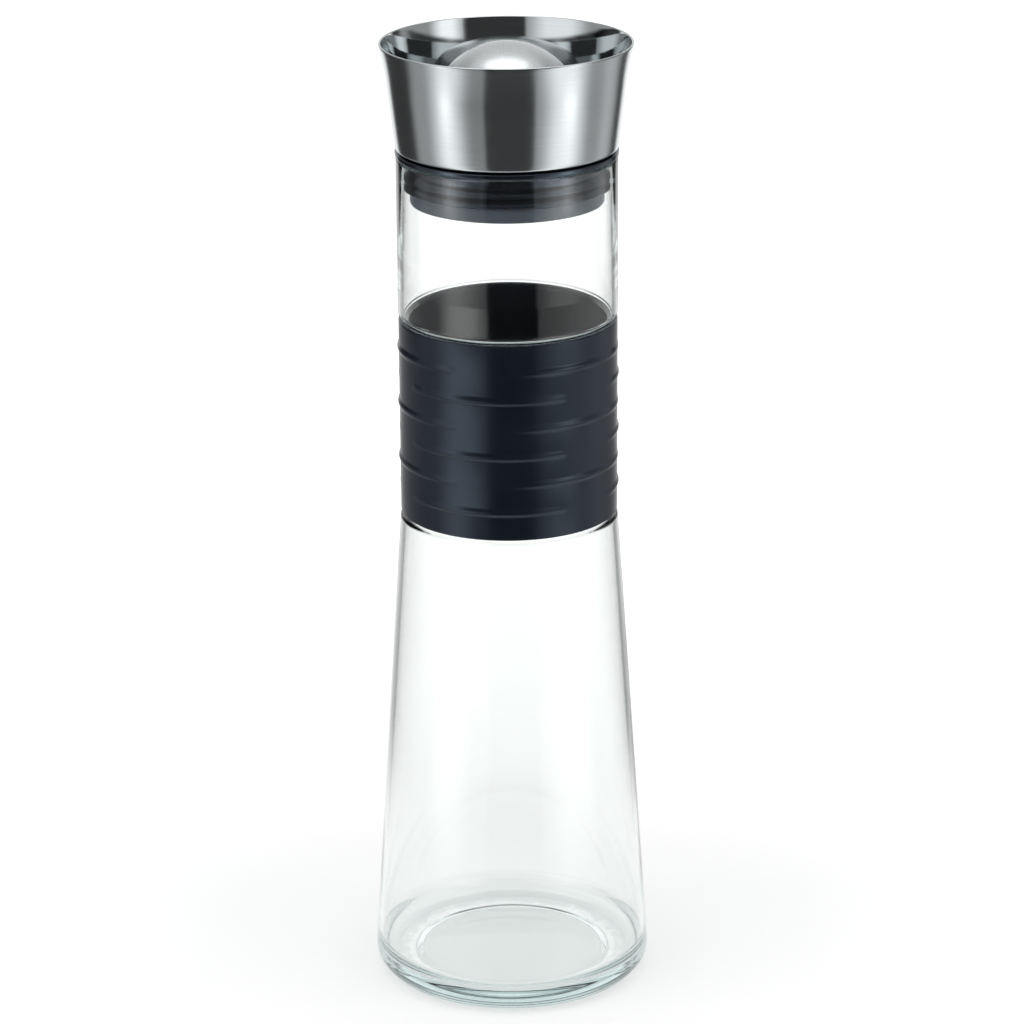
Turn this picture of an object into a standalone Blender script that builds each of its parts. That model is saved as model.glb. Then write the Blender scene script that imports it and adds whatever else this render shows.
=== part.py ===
"""Glass carafe with a steel pouring collar and a dome valve that opens when the carafe is tipped.

Metres, +Z up. The origin is on the table, under the carafe's axis, and -Y is the front.
The bottle is a glass body in a silicone grip. The stopper is a stack that is clamped together
and plugs the neck. The valve is a steel dome on a stem that slides in the stopper.
"""

from math import atan2, cos, pi, radians, sin, sqrt

import bmesh
import bpy
from mathutils import Matrix

# Fits
TOUCH_GAP = 0.0003            # gap kept between faces that touch or press on each other
STEM_CLEARANCE = 0.00015      # radial running clearance of the stem in its bush
SEAT_CLEARANCE = 0.0003       # radial clearance of the valve in the seat opening

# Glass body
GLASS_HEIGHT = 0.2744         # table to glass rim
GLASS_WALL = 0.0016
BASE_RADIUS = 0.0450
BASE_THICKNESS = 0.0065
HEEL_RADIUS = 0.0070          # rounding of the foot's outer edge
INNER_HEEL_RADIUS = 0.0060
FOOT_RING_WIDTH = 0.0060      # flat ring that the carafe stands on
PUNT_DEPTH = 0.0012           # hollow under the foot, inside the ring
NECK_RADIUS = 0.03475
NECK_LENGTH = 0.0521          # glass rim down to the grip
SHOULDER_LENGTH = 0.0012      # sloped glass at each end of the grip's waist

# Silicone grip
GRIP_LENGTH = 0.0634
GRIP_THICKNESS = 0.0018
GRIP_INSET = 0.00015          # how far the grip's face lies inside the neck's face
GRIP_EDGE = 0.0004            # bevel on the grip's two outer edges
RIB_ROWS = 6
RIBS_PER_ROW = 3
RIB_SWEEP = radians(92)       # angle that one rib covers
RIB_WIDTH = 0.0034
RIB_HEIGHT = 0.0006

# Sheet steel of the collar, the dish and the dome
SHEET = 0.0008

# Pouring collar
COLLAR_HEIGHT = 0.0335
COLLAR_TAPER = 0.0040         # how much the straight flare widens the radius
COLLAR_LIP_HEIGHT = 0.0120    # stretch below the rim that curls out further
COLLAR_LIP_FLARE = 0.0009
COLLAR_CORNER = 0.0015        # outside bend radius at the collar's foot

# Neck seal and the ring that clamps it
SEAL_FLANGE = 0.0015          # thickness of the flange on the glass rim
SEAL_FLANGE_PROUD = 0.00025   # how far the flange stands out past the neck
SEAL_WALL = 0.0020
LIP_REACH = 0.00195
LIP_COUNT = 2
LIP_PITCH = 0.0031
LIP_ROOT = 0.0024             # height of a lip where it leaves the wall
LIP_TIP = 0.0006              # height of a lip at the glass
LIP_OFFSET = 0.0003           # seal's lower edge up to the lowest lip
PLUG_REACH = 0.0143           # glass rim down to the foot of the stopper
CLAMP_HEIGHT = 0.0046
CLAMP_FLOOR = 0.0016

# Plug body
PLUG_WALL = 0.0036
PLUG_FLANGE = 0.0024
PLUG_FLANGE_CLEARANCE = 0.0008
LEDGE_WIDTH = 0.0015          # step in the bore that carries the guide
GASKET_THICKNESS = 0.0009
GASKET_WIDTH = 0.0019

# Drip dish with the valve seat
DISH_RISE = 0.0037
DISH_LAND_MARGIN = 0.0020     # flat land outside the valve's seal
SEAT_BEND = 0.0012            # bend between the land and the turned-down seat

# Valve guide
RING_HEIGHT = 0.0040
RING_LAND = 0.0029            # part of the ring that lies outside the seat
RING_WIDTH = 0.0047
HUB_RADIUS = 0.0060
HUB_HEIGHT = 0.0050
ARM_COUNT = 3
ARM_WIDTH = 0.0030
ARM_HEIGHT = 0.0035
BUSH_WALL = 0.0015
BUSH_FLANGE = 0.0010
BUSH_FLANGE_WIDTH = 0.0014

# Valve
VALVE_TRAVEL = 0.0060
SEAT_OVERLAP = 0.0030         # how far the dome reaches over the seat
DOME_SKIRT = 0.0017           # straight edge under the half sphere
DOME_SEAL_THICKNESS = 0.0014
DOME_SEAL_PROUD = 0.0015
DOME_SEAL_GRIP = 0.0011       # how deep the seal sits in the carrier's groove
CARRIER_FLANGE = 0.0020       # flange below the dome's seal
CARRIER_BOSS_RADIUS = 0.0070
CARRIER_BOSS_HEIGHT = 0.0020
STEM_RADIUS = 0.0020
STEM_SHOULDER = 0.0010
STEM_SHOULDER_WIDTH = 0.0015
STEM_FLOAT = 0.0004           # stem's shoulder down to the bush, valve shut
STEM_STEP = 0.0005            # how much thinner the stem is in the weight
STEM_PROUD = 0.0008
STEM_CHAMFER = 0.0003
NUT_HEIGHT = 0.0025
NUT_ACROSS_FLATS = 0.0070
WEIGHT_RADIUS = 0.0110
WEIGHT_HEIGHT = 0.0041
WEIGHT_EDGE = 0.0006
CLIP_RADIUS = 0.0035
CLIP_THICKNESS = 0.0007
STEM_TIP = 0.0005             # end of the stem below the clip

# Facets of the turned pieces
OUTER_STEPS = 48
INNER_STEPS = 36
SMALL_STEPS = 24
LIP_STEPS = 3                 # facets of the collar's curled lip, up its profile
SHARP_ANGLE = radians(35)

# Radii that follow from the neck inwards
neck_bore = NECK_RADIUS - GLASS_WALL
lip_radius = neck_bore - TOUCH_GAP
seal_radius = lip_radius - LIP_REACH
seal_bore = seal_radius - SEAL_WALL
plug_radius = seal_bore - TOUCH_GAP
plug_bore = plug_radius - PLUG_WALL
ring_radius = plug_bore - TOUCH_GAP
seat_outer = ring_radius - RING_LAND
seat_radius = seat_outer - SHEET
dome_radius = seat_radius + SEAT_OVERLAP
dome_bore = dome_radius - SHEET
dome_seal_radius = dome_radius + DOME_SEAL_PROUD
carrier_flange_radius = seat_radius - SEAT_CLEARANCE
groove_radius = carrier_flange_radius - DOME_SEAL_GRIP
land_radius = dome_seal_radius + DISH_LAND_MARGIN
grip_radius = NECK_RADIUS - GRIP_INSET
grip_bore = grip_radius - GRIP_THICKNESS
waist_radius = grip_bore - TOUCH_GAP
bush_bore = STEM_RADIUS + STEM_CLEARANCE
bush_radius = bush_bore + BUSH_WALL
hub_bore = bush_radius + TOUCH_GAP
tip_radius = STEM_RADIUS - STEM_STEP

# Levels of the stopper, from the glass rim upwards
seal_seat = GLASS_HEIGHT + TOUCH_GAP
collar_foot = seal_seat + SEAL_FLANGE + TOUCH_GAP
plug_seat = collar_foot + SHEET + TOUCH_GAP
gasket_seat = plug_seat + PLUG_FLANGE + TOUCH_GAP
dish_seat = gasket_seat + GASKET_THICKNESS + TOUCH_GAP
land_level = dish_seat + SHEET
dome_seal_seat = land_level + TOUCH_GAP
dome_seat = dome_seal_seat + DOME_SEAL_THICKNESS + TOUCH_GAP
dome_equator = dome_seat + DOME_SKIRT
nut_seat = dome_equator + CARRIER_BOSS_HEIGHT + TOUCH_GAP

# Levels below the valve seat, downwards
carrier_foot = land_level - CARRIER_FLANGE
shoulder_top = carrier_foot - TOUCH_GAP
bush_top = shoulder_top - STEM_SHOULDER - STEM_FLOAT
hub_top = bush_top - BUSH_FLANGE - TOUCH_GAP
guide_foot = hub_top - HUB_HEIGHT
seat_foot = guide_foot + RING_HEIGHT + TOUCH_GAP
ledge_level = guide_foot - TOUCH_GAP
weight_top = guide_foot - TOUCH_GAP - VALVE_TRAVEL
weight_foot = weight_top - WEIGHT_HEIGHT
clip_foot = weight_foot - TOUCH_GAP - CLIP_THICKNESS
stem_foot = clip_foot - STEM_TIP
clamp_foot = GLASS_HEIGHT - PLUG_REACH
plug_foot = clamp_foot + CLAMP_FLOOR + TOUCH_GAP
seal_foot = clamp_foot + CLAMP_HEIGHT + TOUCH_GAP
grip_foot = GLASS_HEIGHT - NECK_LENGTH - GRIP_LENGTH


def new_collection(name):
    """A collection of this name in the scene."""
    collection = bpy.data.collections.new(name)
    bpy.context.scene.collection.children.link(collection)
    return collection


def finish_material(name, colour, roughness, metallic=0.0, transmission=0.0):
    """A Principled material with the colour and gloss of one sub-part."""
    material = bpy.data.materials.new(name)
    material.use_nodes = True
    shader = material.node_tree.nodes["Principled BSDF"]
    shader.inputs["Base Color"].default_value = (*colour, 1.0)
    shader.inputs["Roughness"].default_value = roughness
    shader.inputs["Metallic"].default_value = metallic
    shader.inputs["Transmission Weight"].default_value = transmission
    return material


def arc(centre, radius, start, end, count):
    """Points of an arc in the profile plane, both ends included, angles in degrees."""
    points = []
    for index in range(count + 1):
        angle = radians(start + (end - start) * index / count)
        points.append((centre[0] + radius * cos(angle), centre[1] + radius * sin(angle)))
    return points


def plain_mesh(thing, name):
    """The evaluated mesh of an object, shaded smooth between its sharp edges."""
    depsgraph = bpy.context.evaluated_depsgraph_get()
    mesh = bpy.data.meshes.new_from_object(thing.evaluated_get(depsgraph))
    mesh.name = name
    mesh.shade_smooth()
    mesh.set_sharp_from_angle(angle=SHARP_ANGLE)
    return mesh


def turned(name, profile, steps, closed=True):
    """A turned piece: (radius, height) points, down the outer side first, swept about Z."""
    outline = bmesh.new()
    corners = [outline.verts.new((radius, 0, height)) for radius, height in profile]
    for first, second in zip(corners, corners[1:]):
        outline.edges.new((first, second))
    if closed:
        outline.edges.new((corners[-1], corners[0]))
    mesh = bpy.data.meshes.new(name + "_profile")
    outline.to_mesh(mesh)
    outline.free()

    piece = bpy.data.objects.new(name, mesh)
    parts.objects.link(piece)
    sweep = piece.modifiers.new("Turn", "SCREW")
    sweep.axis = "Z"
    sweep.steps = steps
    sweep.render_steps = steps
    sweep.use_merge_vertices = True
    sweep.merge_threshold = 1e-6
    piece.data = plain_mesh(piece, name)
    piece.modifiers.clear()
    bpy.data.meshes.remove(mesh)
    return piece


def carry(thing, carrier, level):
    """Hang a thing on its carrier, at a level above the table."""
    thing.parent = carrier
    thing.location.z = level
    while carrier:
        thing.location.z -= carrier.location.z
        carrier = carrier.parent


def dressed(piece, carrier, level, material):
    """Set a piece on its seat level under its carrier, in its own material."""
    carry(piece, carrier, level)
    piece.data.materials.clear()
    piece.data.materials.append(material)
    return piece


def axis_empty(name, carrier, level):
    """An empty on the carafe's axis that carries one moving group."""
    empty = bpy.data.objects.new(name, None)
    parts.objects.link(empty)
    carry(empty, carrier, level)
    return empty


def combine(piece, tool, operation):
    """Join a tool to a piece, or cut the piece with it, as a Boolean modifier."""
    cut = piece.modifiers.new(operation.title(), "BOOLEAN")
    cut.operation = operation
    cut.solver = "EXACT"
    cut.object = tool
    tool.hide_render = True
    tool.display_type = "WIRE"
    parts.objects.unlink(tool)
    cutters.objects.link(tool)


def collar_widening(height):
    """How far the collar's outside stands beyond its foot radius at this height."""
    lip_share = max(0.0, (height - COLLAR_HEIGHT + COLLAR_LIP_HEIGHT) / COLLAR_LIP_HEIGHT)
    return COLLAR_TAPER * height / COLLAR_HEIGHT + COLLAR_LIP_FLARE * lip_share ** 2


def collar_bore(level):
    """Inside radius of the collar at a level above the table."""
    return NECK_RADIUS + collar_widening(level - collar_foot) - SHEET


def make_glass_body():
    """Blown glass: a conical belly, a waist for the grip, a straight neck and a thick foot."""
    waist_foot = grip_foot - TOUCH_GAP
    waist_top = grip_foot + GRIP_LENGTH + TOUCH_GAP
    rim_radius = GLASS_WALL / 2
    belly_bore = BASE_RADIUS - GLASS_WALL
    waist_bore = waist_radius - GLASS_WALL
    foot_flat = BASE_RADIUS - HEEL_RADIUS
    punt_edge = foot_flat - FOOT_RING_WIDTH
    inner_corner = (belly_bore - INNER_HEEL_RADIUS, BASE_THICKNESS + INNER_HEEL_RADIUS)

    profile = [(0, BASE_THICKNESS)]
    profile += arc(inner_corner, INNER_HEEL_RADIUS, -90, 0, 4)
    profile += [
        (neck_bore, waist_foot - SHOULDER_LENGTH),
        (waist_bore, waist_foot),
        (waist_bore, waist_top),
        (neck_bore, waist_top + SHOULDER_LENGTH),
    ]
    profile += arc((NECK_RADIUS - rim_radius, GLASS_HEIGHT - rim_radius), rim_radius, 180, 0, 4)
    profile += [
        (NECK_RADIUS, waist_top + SHOULDER_LENGTH),
        (waist_radius, waist_top),
        (waist_radius, waist_foot),
        (NECK_RADIUS, waist_foot - SHOULDER_LENGTH),
    ]
    profile += arc((foot_flat, HEEL_RADIUS), HEEL_RADIUS, 0, -90, 5)
    profile += [(punt_edge, 0), (punt_edge - 2 * PUNT_DEPTH, PUNT_DEPTH), (0, PUNT_DEPTH)]
    return turned("glass_body", profile, OUTER_STEPS, closed=False)


def rib_rise(angle, row):
    """Height of a rib's crest at an angle from the front: a lens with tapering ends."""
    period = 2 * pi / RIBS_PER_ROW
    start = -period / 2 * (row % 2)
    from_middle = (angle - start) % period - RIB_SWEEP / 2
    return RIB_HEIGHT * sqrt(max(0.0, 1 - (2 * from_middle / RIB_SWEEP) ** 2))


def make_grip_sleeve():
    """Moulded silicone sleeve, stretched into the glass's waist, with staggered low ribs."""
    crest_levels = [GRIP_LENGTH * (1 - (row + 1) / (RIB_ROWS + 1)) for row in range(RIB_ROWS)]
    profile = [(grip_bore, GRIP_LENGTH), (grip_radius - GRIP_EDGE, GRIP_LENGTH)]
    profile.append((grip_radius, GRIP_LENGTH - GRIP_EDGE))
    for crest in crest_levels:
        profile += [(grip_radius, crest + RIB_WIDTH / 2), (grip_radius, crest)]
        profile.append((grip_radius, crest - RIB_WIDTH / 2))
    profile += [(grip_radius, GRIP_EDGE), (grip_radius - GRIP_EDGE, 0), (grip_bore, 0)]
    sleeve = turned("grip_sleeve", profile, OUTER_STEPS)

    for vertex in sleeve.data.vertices:
        x, y, z = vertex.co
        if sqrt(x * x + y * y) < grip_radius - GRIP_EDGE / 2:
            continue
        for row, crest in enumerate(crest_levels):
            if abs(z - crest) < RIB_WIDTH / 4:
                growth = 1 + rib_rise(atan2(x, -y), row) / grip_radius
                vertex.co = (x * growth, y * growth, z)
    return sleeve


def make_pour_collar():
    """Deep-drawn steel collar: flared wall, rounded lip, and a floor turned in under the dish."""
    lip = SHEET / 2
    corner = (NECK_RADIUS - COLLAR_CORNER, COLLAR_CORNER)
    lip_foot = COLLAR_HEIGHT - COLLAR_LIP_HEIGHT
    wall_levels = [COLLAR_CORNER]
    wall_levels += [lip_foot + COLLAR_LIP_HEIGHT * step / LIP_STEPS for step in range(LIP_STEPS)]
    wall_levels.append(COLLAR_HEIGHT - lip)
    inner_wall = [(NECK_RADIUS + collar_widening(level) - SHEET, level) for level in wall_levels]
    outer_wall = [(radius + SHEET, level) for radius, level in inner_wall]
    lip_centre = (inner_wall[-1][0] + lip, inner_wall[-1][1])

    profile = [(seal_bore, SHEET)]
    profile += arc(corner, COLLAR_CORNER - SHEET, -90, -30, 2)
    profile += inner_wall[:-1]
    profile += arc(lip_centre, lip, 180, 0, 4)
    profile += outer_wall[-2::-1]
    profile += arc(corner, COLLAR_CORNER, -30, -90, 2)
    profile.append((seal_bore, 0))
    return turned("pour_collar", profile, OUTER_STEPS)


def make_neck_seal():
    """Silicone seal: a flange that rests on the glass rim and lips that wipe the neck."""
    top = seal_seat + SEAL_FLANGE - seal_foot
    flange_foot = seal_seat - seal_foot
    flange_radius = NECK_RADIUS + SEAL_FLANGE_PROUD
    profile = [(flange_radius, top), (flange_radius, flange_foot), (seal_radius, flange_foot)]
    for index in reversed(range(LIP_COUNT)):
        root = LIP_OFFSET + index * LIP_PITCH
        profile += [
            (seal_radius, root + LIP_ROOT),
            (lip_radius, root + LIP_TIP),
            (lip_radius, root),
            (seal_radius, root),
        ]
    profile += [(seal_radius, 0), (seal_bore, 0), (seal_bore, top)]
    return turned("neck_seal", profile, INNER_STEPS)


def make_clamp_ring():
    """Ring that snaps on the plug's foot and holds the seal up against the collar."""
    floor_bore = plug_bore - LEDGE_WIDTH
    profile = [
        (seal_radius, CLAMP_HEIGHT),
        (seal_radius, 0),
        (floor_bore, 0),
        (floor_bore, CLAMP_FLOOR),
        (seal_bore, CLAMP_FLOOR),
        (seal_bore, CLAMP_HEIGHT),
    ]
    return turned("clamp_ring", profile, INNER_STEPS)


def make_plug_body():
    """Moulded core of the stopper: a tube through the collar's floor under a wide flange."""
    flange_radius = collar_bore(plug_seat) - PLUG_FLANGE_CLEARANCE
    profile = [
        (flange_radius, PLUG_FLANGE),
        (flange_radius, 0),
        (plug_radius, 0),
        (plug_radius, plug_foot - plug_seat),
        (plug_bore - LEDGE_WIDTH, plug_foot - plug_seat),
        (plug_bore - LEDGE_WIDTH, ledge_level - plug_seat),
        (plug_bore, ledge_level - plug_seat),
        (plug_bore, PLUG_FLANGE),
    ]
    return turned("plug_body", profile, INNER_STEPS)


def make_guide_spider():
    """Three-armed guide on the ledge in the plug's bore, with a hub for the stem's bush."""
    ring_bore = ring_radius - RING_WIDTH
    ring = [(ring_radius, RING_HEIGHT), (ring_radius, 0), (ring_bore, 0), (ring_bore, RING_HEIGHT)]
    spider = turned("guide_spider", ring, INNER_STEPS)

    arm_start = (hub_bore + HUB_RADIUS) / 2
    arm_end = (ring_bore + ring_radius) / 2
    for index in range(ARM_COUNT):
        arm = bmesh.new()
        bmesh.ops.create_cube(arm, size=1.0)
        size = Matrix.Diagonal((arm_end - arm_start, ARM_WIDTH, ARM_HEIGHT, 1.0))
        place = Matrix.Translation(((arm_start + arm_end) / 2, 0, ARM_HEIGHT / 2))
        turn = Matrix.Rotation(pi / 2 + index * 2 * pi / ARM_COUNT, 4, "Z")
        bmesh.ops.transform(arm, matrix=turn @ place @ size, verts=arm.verts)
        mesh = bpy.data.meshes.new("guide_arm")
        arm.to_mesh(mesh)
        arm.free()
        tool = bpy.data.objects.new("guide_arm", mesh)
        parts.objects.link(tool)
        tool.location.z = guide_foot
        combine(spider, tool, "UNION")

    hub = [(HUB_RADIUS, HUB_HEIGHT), (HUB_RADIUS, 0), (hub_bore, 0), (hub_bore, HUB_HEIGHT)]
    tool = turned("guide_hub", hub, SMALL_STEPS)
    tool.location.z = guide_foot
    combine(spider, tool, "UNION")
    return spider


def make_guide_bush():
    """Flanged plain bush in the hub, in which the stem slides."""
    length = hub_top + TOUCH_GAP - guide_foot
    flange_radius = bush_radius + BUSH_FLANGE_WIDTH
    profile = [
        (flange_radius, length + BUSH_FLANGE),
        (flange_radius, length),
        (bush_radius, length),
        (bush_radius, 0),
        (bush_bore, 0),
        (bush_bore, length + BUSH_FLANGE),
    ]
    return turned("guide_bush", profile, SMALL_STEPS)


def make_dish_gasket():
    """Flat ring that seals the dish on the plug's flange."""
    inner = plug_bore + TOUCH_GAP
    outer = inner + GASKET_WIDTH
    profile = [(outer, GASKET_THICKNESS), (outer, 0), (inner, 0), (inner, GASKET_THICKNESS)]
    return turned("dish_gasket", profile, INNER_STEPS)


def make_drip_dish():
    """Polished steel dish that drains to the valve: a sloped rim, a flat land and the seat."""
    edge_level = land_level + DISH_RISE
    edge_radius = collar_bore(edge_level - SHEET) - TOUCH_GAP
    seat_length = land_level - seat_foot
    bend = (seat_radius + SEAT_BEND, -SEAT_BEND)
    profile = [(seat_radius, -seat_length)]
    profile += arc(bend, SEAT_BEND, 180, 90, 3)
    profile += [
        (land_radius, 0),
        (edge_radius, DISH_RISE),
        (edge_radius, DISH_RISE - SHEET),
        (land_radius, -SHEET),
    ]
    profile += arc(bend, SEAT_BEND - SHEET, 90, 180, 3)
    profile.append((seat_outer, -seat_length))
    return turned("drip_dish", profile, INNER_STEPS)


def make_valve_dome():
    """Spun steel half sphere with a short straight edge, open below."""
    outside = arc((0, DOME_SKIRT), dome_radius, 90, 0, 8)
    inside = arc((0, DOME_SKIRT), dome_bore, 0, 90, 8)
    profile = outside + [(dome_radius, 0), (dome_bore, 0)] + inside
    profile[0] = (0, DOME_SKIRT + dome_radius)
    profile[-1] = (0, DOME_SKIRT + dome_bore)
    return turned("valve_dome", profile, OUTER_STEPS, closed=False)


def make_dome_carrier():
    """Moulded disc snapped into the dome: a groove for the seal and a boss for the stem."""
    bore = STEM_RADIUS + TOUCH_GAP
    plate_top = dome_equator - carrier_foot
    groove_top = dome_seat - carrier_foot
    groove_foot = land_level - carrier_foot
    plate_radius = dome_bore - TOUCH_GAP
    profile = [
        (CARRIER_BOSS_RADIUS, plate_top + CARRIER_BOSS_HEIGHT),
        (CARRIER_BOSS_RADIUS, plate_top),
        (plate_radius, plate_top),
        (plate_radius, groove_top),
        (groove_radius, groove_top),
        (groove_radius, groove_foot),
        (carrier_flange_radius, groove_foot),
        (carrier_flange_radius, 0),
        (bore, 0),
        (bore, plate_top + CARRIER_BOSS_HEIGHT),
    ]
    return turned("dome_carrier", profile, INNER_STEPS)


def make_dome_seal():
    """Silicone ring in the carrier's groove, which shuts on the dish's flat land."""
    inner = groove_radius + TOUCH_GAP
    lip = DOME_SEAL_THICKNESS / 2
    profile = [
        (dome_radius, DOME_SEAL_THICKNESS),
        (dome_seal_radius, lip),
        (dome_seal_radius, 0),
        (inner, 0),
        (inner, DOME_SEAL_THICKNESS),
    ]
    return turned("dome_seal", profile, INNER_STEPS)


def make_valve_stem():
    """Turned steel stem: a threaded top, a shoulder under the carrier and a thinner tip."""
    top = nut_seat + NUT_HEIGHT + STEM_PROUD - stem_foot
    shoulder = shoulder_top - stem_foot
    shoulder_radius = STEM_RADIUS + STEM_SHOULDER_WIDTH
    step = weight_top + TOUCH_GAP - stem_foot
    profile = [
        (0, top),
        (STEM_RADIUS - STEM_CHAMFER, top),
        (STEM_RADIUS, top - STEM_CHAMFER),
        (STEM_RADIUS, shoulder),
        (shoulder_radius, shoulder),
        (shoulder_radius, shoulder - STEM_SHOULDER),
        (STEM_RADIUS, shoulder - STEM_SHOULDER),
        (STEM_RADIUS, step),
        (tip_radius, step),
        (tip_radius, STEM_CHAMFER),
        (tip_radius - STEM_CHAMFER, 0),
        (0, 0),
    ]
    return turned("valve_stem", profile, SMALL_STEPS, closed=False)


def make_stem_nut():
    """Hexagon nut that pulls the stem's shoulder against the carrier, inside the dome."""
    corner_radius = NUT_ACROSS_FLATS / 2 / cos(pi / 6)
    hexagon = bmesh.new()
    bmesh.ops.create_cone(hexagon, cap_ends=True, segments=6, radius1=corner_radius,
                          radius2=corner_radius, depth=NUT_HEIGHT)
    bmesh.ops.translate(hexagon, vec=(0, 0, NUT_HEIGHT / 2), verts=hexagon.verts)
    mesh = bpy.data.meshes.new("stem_nut")
    hexagon.to_mesh(mesh)
    hexagon.free()
    nut = bpy.data.objects.new("stem_nut", mesh)
    parts.objects.link(nut)

    thread = STEM_RADIUS + TOUCH_GAP
    drill = [(0, 2 * NUT_HEIGHT), (thread, 2 * NUT_HEIGHT), (thread, -NUT_HEIGHT), (0, -NUT_HEIGHT)]
    tool = turned("nut_bore", drill, SMALL_STEPS, closed=False)
    tool.location.z = nut_seat
    combine(nut, tool, "DIFFERENCE")
    return nut


def make_closing_weight():
    """Turned steel weight that pulls the valve shut and stops it against the hub."""
    bore = tip_radius + TOUCH_GAP
    profile = [
        (WEIGHT_RADIUS - WEIGHT_EDGE, WEIGHT_HEIGHT),
        (WEIGHT_RADIUS, WEIGHT_HEIGHT - WEIGHT_EDGE),
        (WEIGHT_RADIUS, WEIGHT_EDGE),
        (WEIGHT_RADIUS - WEIGHT_EDGE, 0),
        (bore, 0),
        (bore, WEIGHT_HEIGHT),
    ]
    return turned("closing_weight", profile, SMALL_STEPS)


def make_stem_clip():
    """Push-on ring that keeps the weight on the stem's tip."""
    bore = tip_radius + TOUCH_GAP
    profile = [(CLIP_RADIUS, CLIP_THICKNESS), (CLIP_RADIUS, 0), (bore, 0), (bore, CLIP_THICKNESS)]
    return turned("stem_clip", profile, SMALL_STEPS)


for old in list(bpy.data.objects):
    bpy.data.objects.remove(old, do_unlink=True)
parts = new_collection("glass_carafe")
cutters = new_collection("cutters")

glass = finish_material("clear_glass", (0.93, 0.96, 0.95), 0.02, transmission=1.0)
silicone = finish_material("anthracite_silicone", (0.028, 0.032, 0.043), 0.62)
satin_steel = finish_material("satin_steel", (0.62, 0.62, 0.61), 0.28, metallic=1.0)
mirror_steel = finish_material("mirror_steel", (0.70, 0.70, 0.69), 0.08, metallic=1.0)
turned_steel = finish_material("turned_steel", (0.56, 0.56, 0.55), 0.35, metallic=1.0)
black_silicone = finish_material("black_silicone", (0.012, 0.012, 0.015), 0.32)
black_plastic = finish_material("black_plastic", (0.016, 0.016, 0.018), 0.42)
grey_plastic = finish_material("grey_plastic", (0.10, 0.11, 0.12), 0.38)
white_plastic = finish_material("bearing_plastic", (0.78, 0.77, 0.73), 0.40)

stopper = axis_empty("stopper_axis", None, seal_seat)
valve = axis_empty("valve_axis", stopper, land_level)

dressed(make_glass_body(), None, 0.0, glass)
dressed(make_grip_sleeve(), None, grip_foot, silicone)

dressed(make_neck_seal(), stopper, seal_foot, black_silicone)
dressed(make_clamp_ring(), stopper, clamp_foot, grey_plastic)
dressed(make_pour_collar(), stopper, collar_foot, satin_steel)
dressed(make_plug_body(), stopper, plug_seat, black_plastic)
dressed(make_guide_spider(), stopper, guide_foot, black_plastic)
dressed(make_guide_bush(), stopper, guide_foot, white_plastic)
dressed(make_dish_gasket(), stopper, gasket_seat, black_silicone)
dressed(make_drip_dish(), stopper, land_level, mirror_steel)

dressed(make_dome_seal(), valve, dome_seal_seat, black_silicone)
dressed(make_dome_carrier(), valve, carrier_foot, black_plastic)
dressed(make_valve_dome(), valve, dome_seat, satin_steel)
dressed(make_valve_stem(), valve, stem_foot, turned_steel)
dressed(make_stem_nut(), valve, nut_seat, turned_steel)
dressed(make_closing_weight(), valve, weight_foot, turned_steel)
dressed(make_stem_clip(), valve, clip_foot, turned_steel)
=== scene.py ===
from math import cos, pi, radians, sin, tan

import bmesh
import bpy
from mathutils import Matrix, Vector


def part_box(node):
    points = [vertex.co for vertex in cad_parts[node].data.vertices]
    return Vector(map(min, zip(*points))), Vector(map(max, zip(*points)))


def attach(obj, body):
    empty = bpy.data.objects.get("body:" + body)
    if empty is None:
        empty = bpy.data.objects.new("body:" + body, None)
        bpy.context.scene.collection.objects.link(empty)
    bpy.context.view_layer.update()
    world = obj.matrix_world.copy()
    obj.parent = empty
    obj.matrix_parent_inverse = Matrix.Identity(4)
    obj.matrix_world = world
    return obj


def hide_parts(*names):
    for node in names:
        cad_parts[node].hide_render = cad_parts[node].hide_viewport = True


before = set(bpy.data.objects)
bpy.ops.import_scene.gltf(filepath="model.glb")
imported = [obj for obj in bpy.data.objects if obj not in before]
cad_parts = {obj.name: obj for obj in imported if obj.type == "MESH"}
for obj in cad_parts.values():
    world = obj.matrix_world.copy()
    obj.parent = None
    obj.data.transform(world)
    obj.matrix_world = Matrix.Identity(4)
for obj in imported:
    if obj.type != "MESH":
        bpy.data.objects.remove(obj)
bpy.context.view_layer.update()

scene = bpy.context.scene
scene.view_settings.view_transform = "Standard"


# Camera. The carafe is seen from a little above through a long lens. The picture leans
# by a third of a degree, and the carafe's axis passes just left of its middle.
LENS = 135
SENSOR = 36
CAMERA_DISTANCE = 1.2325
CAMERA_RISE = radians(18.99)
CAMERA_ROLL = radians(0.376)
LOOK_AT = Vector((0.00086, 0.0, 0.1567))

backwards = Vector((0.0, -cos(CAMERA_RISE), sin(CAMERA_RISE)))
camera_data = bpy.data.cameras.new("camera")
camera_data.lens = LENS
camera_data.sensor_width = SENSOR
camera = bpy.data.objects.new("camera", camera_data)
scene.collection.objects.link(camera)
unrolled = (-backwards).to_track_quat("-Z", "Y").to_matrix()
camera.matrix_world = (
    Matrix.Translation(LOOK_AT + backwards * CAMERA_DISTANCE)
    @ (unrolled @ Matrix.Rotation(-CAMERA_ROLL, 3, "Z")).to_4x4()
)
scene.camera = camera


# Floor. A plain pale table top that runs out of sight on every side. It looks white where nothing
# shades it, and keeps the carafe's soft shadow close to the foot. It glows on camera, mirrored and
# through-glass
# rays, and glows less near the carafe: painted shade round the foot, on top of its real shadow.
FLOOR_REACH = 8.0
FLOOR_COLOUR = (0.60, 0.60, 0.60, 1.0)
FLOOR_GLOW_NEAR = 0.36
FLOOR_GLOW_FAR = 0.75
GLOW_NEAR = 0.10
GLOW_FAR = 0.60
WHITE = (1.0, 1.0, 1.0, 1.0)


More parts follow.
